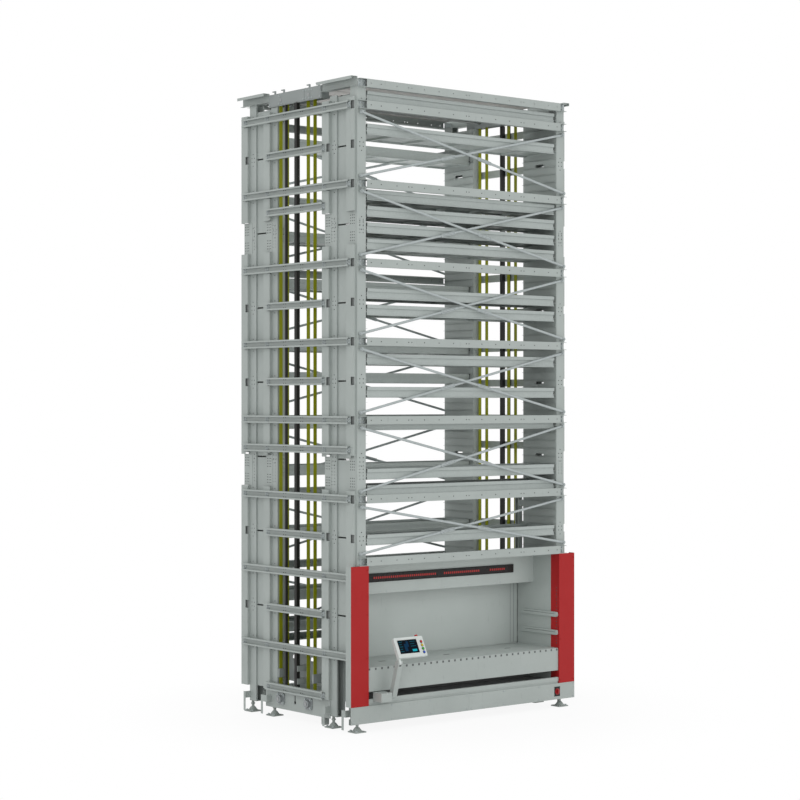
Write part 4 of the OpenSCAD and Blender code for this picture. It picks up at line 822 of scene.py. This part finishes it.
# Base panel and main switch: two folded skirting sheets on button screws, with a black plate
# for the switch. Its red moulded handle turns with a flat red dial.
BASE_FACE = MIDDLE - 1.180
BASE_SCREWS_X = (-1.825, -1.22, -0.61, -0.015, 0.06, 0.61, 1.22, 1.825)
BASE_SCREWS_Z = (0.132, 0.296)
SWITCH_X, SWITCH_Z = 1.538, 0.214
SWITCH_FACE = BASE_FACE - 0.003
SWITCH_W, SWITCH_H = 0.0495, 0.0625
SWITCH_PROUD, SWITCH_SUNK = 0.0004, 0.0006
SWITCH_GROUP = corners(0.041, 0.054)
SWITCH_SCREW, SWITCH_SCREW_OUT = 0.008, 0.0003
DIAL_IN, DIAL_OUT, DIAL_H, DIAL_PROUD = 0.0272, 0.041, 0.006, 0.0015
base_screws = bmesh.new()
for x in BASE_SCREWS_X:
    for z in BASE_SCREWS_Z:
        hex_bolt(base_screws, (x, BASE_FACE, z), (0, -1, 0), BUTTON_SCREW)
put_on("base_screws", base_screws, zinc, "frame")


def collar(bm, at, out, inner, outer, high, steps):
    """A flat ring, turned about a direction."""
    before = set(bm.verts)
    made = [bm.verts.new(v) for v in ((inner, 0, 0), (outer, 0, 0), (outer, 0, high), (inner, 0, high))]
    loop = [bm.edges.new((a, b)) for a, b in zip(made, made[1:] + made[:1])]
    bmesh.ops.spin(bm, geom=made + loop, cent=(0, 0, 0), axis=(0, 0, 1), angle=math.tau, steps=steps,
                   use_merge=True)
    ring = [v for v in bm.verts if v not in before]
    bmesh.ops.transform(bm, matrix=facing(at, out), verts=ring)
    bmesh.ops.recalc_face_normals(bm, faces=list({f for v in ring for f in v.link_faces}))


switch_black = powder_coat("switch_black", 0.12, 0.12, 0.125, gloss=0.4, change=0.015, shine=0.25)
switch_plate = bmesh.new()
slab(switch_plate, (SWITCH_X - SWITCH_W, SWITCH_FACE - SWITCH_PROUD, SWITCH_Z - SWITCH_H),
     (SWITCH_X + SWITCH_W, SWITCH_FACE + SWITCH_SUNK, SWITCH_Z + SWITCH_H))
for x, z in SWITCH_GROUP:
    hex_bolt(switch_plate, (SWITCH_X + x, SWITCH_FACE - SWITCH_SCREW_OUT, SWITCH_Z + z), (0, -1, 0),
             SWITCH_SCREW)
put_on("switch_plate", switch_plate, switch_black, "frame")
handle_red, tree, bsdf, where = mottled("handle_red", tone(0.50, 0.03, 0.05), tone(0.60, 0.05, 0.07),
                                        60.0, 3.0, (0.3, 0.45), 120.0)
relief(tree, noise(tree, where, 700.0, 2.0), bsdf, 0.2, 0.0003)
finish_of(handle_red, "main_switch")
dial = bmesh.new()
collar(dial, (SWITCH_X, SWITCH_FACE - DIAL_PROUD, SWITCH_Z), (0, -1, 0), DIAL_IN, DIAL_OUT, DIAL_H, 32)
put_on("switch_dial", dial, handle_red, "main_switch")

# Console: a coated steel box and a leaning arm carry a moulded head of pale polycarbonate
# with a fine texture. Its screen is glass over a lit panel, with plain blocks of colour, in
# a black gasket, and black collars seat the push buttons.
SHELL_TONE = (0.765, 0.79, 0.78)
HEAD_LEAN = -27.0
HEAD_FACE = -0.050
HEAD_AT = next(j for j in frame["record"]["behaviour"]["joints"] if j["name"] == "head_tilt")["pos_m"]
HEAD_TURN = (Matrix.Translation((0.0, HEAD_AT[1], HEAD_AT[2]))
             @ Matrix.Rotation(math.radians(HEAD_LEAN), 4, "X"))
SCREEN = (-1.250, 0.095, -0.960, 0.260)
SCREEN_FACE, BLOCK_HALF = -0.049, 0.0004
FIELDS = [((-1.165, 0.120), (-1.120, 0.215)), ((-1.130, 0.175), (-1.095, 0.245))]
LINE_TOP, LINE_PITCH = 0.235, 0.030
LEFT_LINES = [((-1.238, LINE_TOP - LINE_PITCH * i),
               (-1.186 - 0.012 * (i % 2), LINE_TOP + 0.010 - LINE_PITCH * i)) for i in range(5)]
RIGHT_LINES = [((-1.066, LINE_TOP - LINE_PITCH * i),
                (-0.985 - 0.016 * (i % 2), LINE_TOP + 0.009 - LINE_PITCH * i)) for i in range(3)]
TILE = [((-1.055, 0.112), (-0.985, 0.140))]
GASKET_W, GASKET_PROUD, GASKET_SUNK = 0.005, 0.001, 0.0005
BUTTONS, BUTTON_X, BUTTON_TOP, BUTTON_PITCH = 4, -0.890, 0.225, 0.045
COLLAR_IN, COLLAR_OUT, COLLAR_H = 0.0152, 0.0192, 0.003
finish_of(frame_paint, "console_base", "console_arm")
shell, tree, bsdf, where = mottled("console_shell", shade(SHELL_TONE, -0.02), shade(SHELL_TONE, 0.02),
                                   8.0, 4.0, (0.4, 0.55), 60.0)
relief(tree, noise(tree, where, 900.0, 2.0), bsdf, 0.25, 0.0003)
finish_of(shell, "console_head")
glass, tree, bsdf, where = mottled("screen_glass", tone(0.01, 0.025, 0.05), tone(0.02, 0.06, 0.11), 5.0, 3.0,
                                   (0.08, 0.16), 25.0)
bsdf.inputs["Specular IOR Level"].default_value = 0.05
finish_of(glass, "console_screen")


def lit_block(name, r, g, b):
    """A lit field of the screen, slightly uneven as a backlight is."""
    made, tree, bsdf, where = shader(name)
    glow = blend_tones(tree, noise(tree, where, 60.0), tone(r * 0.9, g * 0.9, b * 0.9), tone(r, g, b))
    tree.links.new(glow, bsdf.inputs["Base Color"])
    tree.links.new(glow, bsdf.inputs["Emission Color"])
    bsdf.inputs["Emission Strength"].default_value = 0.4
    bsdf.inputs["Roughness"].default_value = 0.2
    bsdf.inputs["Specular IOR Level"].default_value = 0.05
    return made


def screen_blocks(name, blocks, material):
    """Flat blocks on the screen, each given by its lower left and upper right corners."""
    made = bmesh.new()
    for low, high in blocks:
        slab(made, (low[0], SCREEN_FACE - BLOCK_HALF, low[1]), (high[0], SCREEN_FACE + BLOCK_HALF, high[1]),
             edge=0.0002)
    bmesh.ops.transform(made, matrix=HEAD_TURN, verts=made.verts)
    put_on(name, made, material, "console_head")


screen_blocks("screen_fields", FIELDS, lit_block("field_blue", 0.02, 0.16, 0.26))
screen_blocks("screen_bars", LEFT_LINES + RIGHT_LINES, lit_block("bar_teal", 0.04, 0.26, 0.31))
screen_blocks("screen_tiles", TILE, lit_block("tile_cyan", 0.06, 0.58, 0.64))
gasket = bmesh.new()
for low, high in border(*SCREEN, GASKET_W):
    slab(gasket, (low[0], HEAD_FACE - GASKET_PROUD, low[1]), (high[0], HEAD_FACE + GASKET_SUNK, high[1]),
         edge=0.0004)
for button in range(BUTTONS):
    collar(gasket, (BUTTON_X, HEAD_FACE, BUTTON_TOP - BUTTON_PITCH * button), (0, -1, 0), COLLAR_IN,
           COLLAR_OUT, COLLAR_H, 24)
bmesh.ops.transform(gasket, matrix=HEAD_TURN, verts=gasket.verts)
put_on("head_trim", gasket, black_and_hole_shade, "console_head")

# Push buttons: moulded caps in four colours, sprung in the head's collars, and a red
# emergency stop on a yellow ring on top of the head.
BUTTON_TONES = {"button_red": (0.72, 0.07, 0.07), "button_yellow": (0.78, 0.70, 0.08),
                "button_green": (0.13, 0.62, 0.17), "button_blue": (0.12, 0.30, 0.72),
                "stop_button": (0.70, 0.08, 0.08)}
RING_TONE = (0.82, 0.70, 0.06)
RING_AT = (-0.922, -0.0275, 0.298)
RING_IN, RING_OUT, RING_H = 0.0125, 0.0235, 0.002


def moulded(name, r, g, b):
    """Glossy moulded plastic with slight flow marks."""
    return mottled(name, tone(r * 0.92, g * 0.92, b * 0.92), tone(r, g, b), 40.0, 3.0, (0.2, 0.32), 70.0)[0]


for button, colour in BUTTON_TONES.items():
    finish_of(moulded(button + "_cap", *colour), button)
stop_ring = bmesh.new()
collar(stop_ring, RING_AT, (0, 0, 1), RING_IN, RING_OUT, RING_H, 28)
bmesh.ops.transform(stop_ring, matrix=HEAD_TURN, verts=stop_ring.verts)
put_on("stop_ring", stop_ring, moulded("ring_yellow", *RING_TONE), "console_head")

# Stage: a pale floor that keeps the shadow and runs out into white, a white surround, soft
# light from the front and the left, weak lamps in the shaft and in the bay, and the camera.
FLOOR_SIZE = 60.0
FLOOR_TONE = 0.86
FLOOR_NEAR, FLOOR_FAR = 1.5, 4.5
FLOOR_WHITE = 0.9
SKY_LEVEL = 0.97
CAMERA_AT = (-16.5905, MIDDLE - 20.2492, 3.977)
CAMERA_TURN = 39.1
FOCAL_PIXELS = 2017.0
PICTURE = 800.0
HORIZON_DROP = 2.0
floor_bm = bmesh.new()
bmesh.ops.create_grid(floor_bm, x_segments=1, y_segments=1, size=FLOOR_SIZE)
floor_mesh = bpy.data.meshes.new("floor")
floor_bm.to_mesh(floor_mesh)
floor_bm.free()
floor = bpy.data.objects.new("floor", floor_mesh)
bpy.context.scene.collection.objects.link(floor)


def seen_rays(tree):
    """1 for what the camera or a reflection sees, and 0 for the light on the object."""
    rays = tree.nodes.new("ShaderNodeLightPath")
    seen = tree.nodes.new("ShaderNodeMath")
    seen.operation = "MAXIMUM"
    tree.links.new(rays.outputs["Is Camera Ray"], seen.inputs[0])
    tree.links.new(rays.outputs["Is Glossy Ray"], seen.inputs[1])
    return seen.outputs["Value"]


floor_coat, tree, bsdf, where = shader("floor_coat")
bsdf.inputs["Base Color"].default_value = (FLOOR_TONE, FLOOR_TONE, FLOOR_TONE, 1.0)
bsdf.inputs["Roughness"].default_value = 0.9
bsdf.inputs["Specular IOR Level"].default_value = 0.0
glow = tree.nodes.new("ShaderNodeEmission")
far = tree.nodes.new("ShaderNodeVectorMath")
far.operation = "LENGTH"
tree.links.new(where, far.inputs[0])
fade = tree.nodes.new("ShaderNodeMapRange")
fade.interpolation_type = "SMOOTHSTEP"
fade.inputs["From Min"].default_value = FLOOR_NEAR
fade.inputs["From Max"].default_value = FLOOR_FAR
fade.inputs["To Min"].default_value = FLOOR_WHITE
tree.links.new(far.outputs["Value"], fade.inputs["Value"])
share = tree.nodes.new("ShaderNodeMath")
share.operation = "MULTIPLY"
tree.links.new(seen_rays(tree), share.inputs[0])
tree.links.new(fade.outputs["Result"], share.inputs[1])
both = tree.nodes.new("ShaderNodeMixShader")
tree.links.new(share.outputs["Value"], both.inputs["Fac"])
tree.links.new(bsdf.outputs["BSDF"], both.inputs[1])
tree.links.new(glow.outputs["Emission"], both.inputs[2])
tree.links.new(both.outputs["Shader"], tree.nodes["Material Output"].inputs["Surface"])
floor_mesh.materials.append(floor_coat)

world = bpy.data.worlds.new("studio")
bpy.context.scene.world = world
world.use_nodes = True
sky = world.node_tree
level = sky.nodes.new("ShaderNodeMapRange")
level.inputs["To Min"].default_value = SKY_LEVEL
level.inputs["To Max"].default_value = 1.0
sky.links.new(seen_rays(sky), level.inputs["Value"])
backdrop = sky.nodes["Background"]
backdrop.inputs["Color"].default_value = (1.0, 1.0, 1.0, 1.0)
sky.links.new(level.outputs["Result"], backdrop.inputs["Strength"])


def softbox(name, at, target, wide, high, watts):
    """A large flat lamp turned towards a point."""
    lamp = bpy.data.lights.new(name, "AREA")
    lamp.shape = "RECTANGLE"
    lamp.size = wide
    lamp.size_y = high
    lamp.energy = watts
    made = bpy.data.objects.new(name, lamp)
    made.location = at
    made.rotation_euler = (Vector(target) - Vector(at)).to_track_quat("-Z", "Y").to_euler()
    made.visible_camera = False
    made.visible_glossy = False
    bpy.context.scene.collection.objects.link(made)


softbox("key_light", (-14.0, -14.0, 6.5), (0.0, 0.0, 4.0), 9.0, 9.0, 350.0)
softbox("fill_light", (3.0, -17.0, 2.6), (0.0, 0.0, 4.0), 9.0, 5.0, 285.0)
softbox("shaft_light", (0.0, MIDDLE - 0.34, 5.0), (0.0, 1.0, 5.0), 3.0, 5.6, 22.0)
softbox("roof_light", (0.0, LIFT_AT, 6.2), (0.0, LIFT_AT, 8.0), 2.9, 0.8, 14.0)
softbox("bay_light", (0.0, MIDDLE - 1.17, 1.39), (0.0, 0.0, 1.39), 3.0, 1.2, 3.0)
softbox("hood_light", (0.0, MIDDLE - 0.90, 1.60), (0.0, MIDDLE - 0.90, 0.0), 2.9, 0.4, 1.6)

lens = bpy.data.cameras.new("camera")
lens.sensor_width = 36.0
lens.lens = FOCAL_PIXELS / PICTURE * lens.sensor_width
lens.shift_y = HORIZON_DROP / PICTURE
lens.clip_end = 200.0
camera = bpy.data.objects.new("camera", lens)
camera.location = CAMERA_AT
camera.rotation_euler = (math.radians(90.0), 0.0, -math.radians(CAMERA_TURN))
bpy.context.scene.collection.objects.link(camera)
bpy.context.scene.camera = camera
bpy.context.scene.view_settings.view_transform = "Standard"
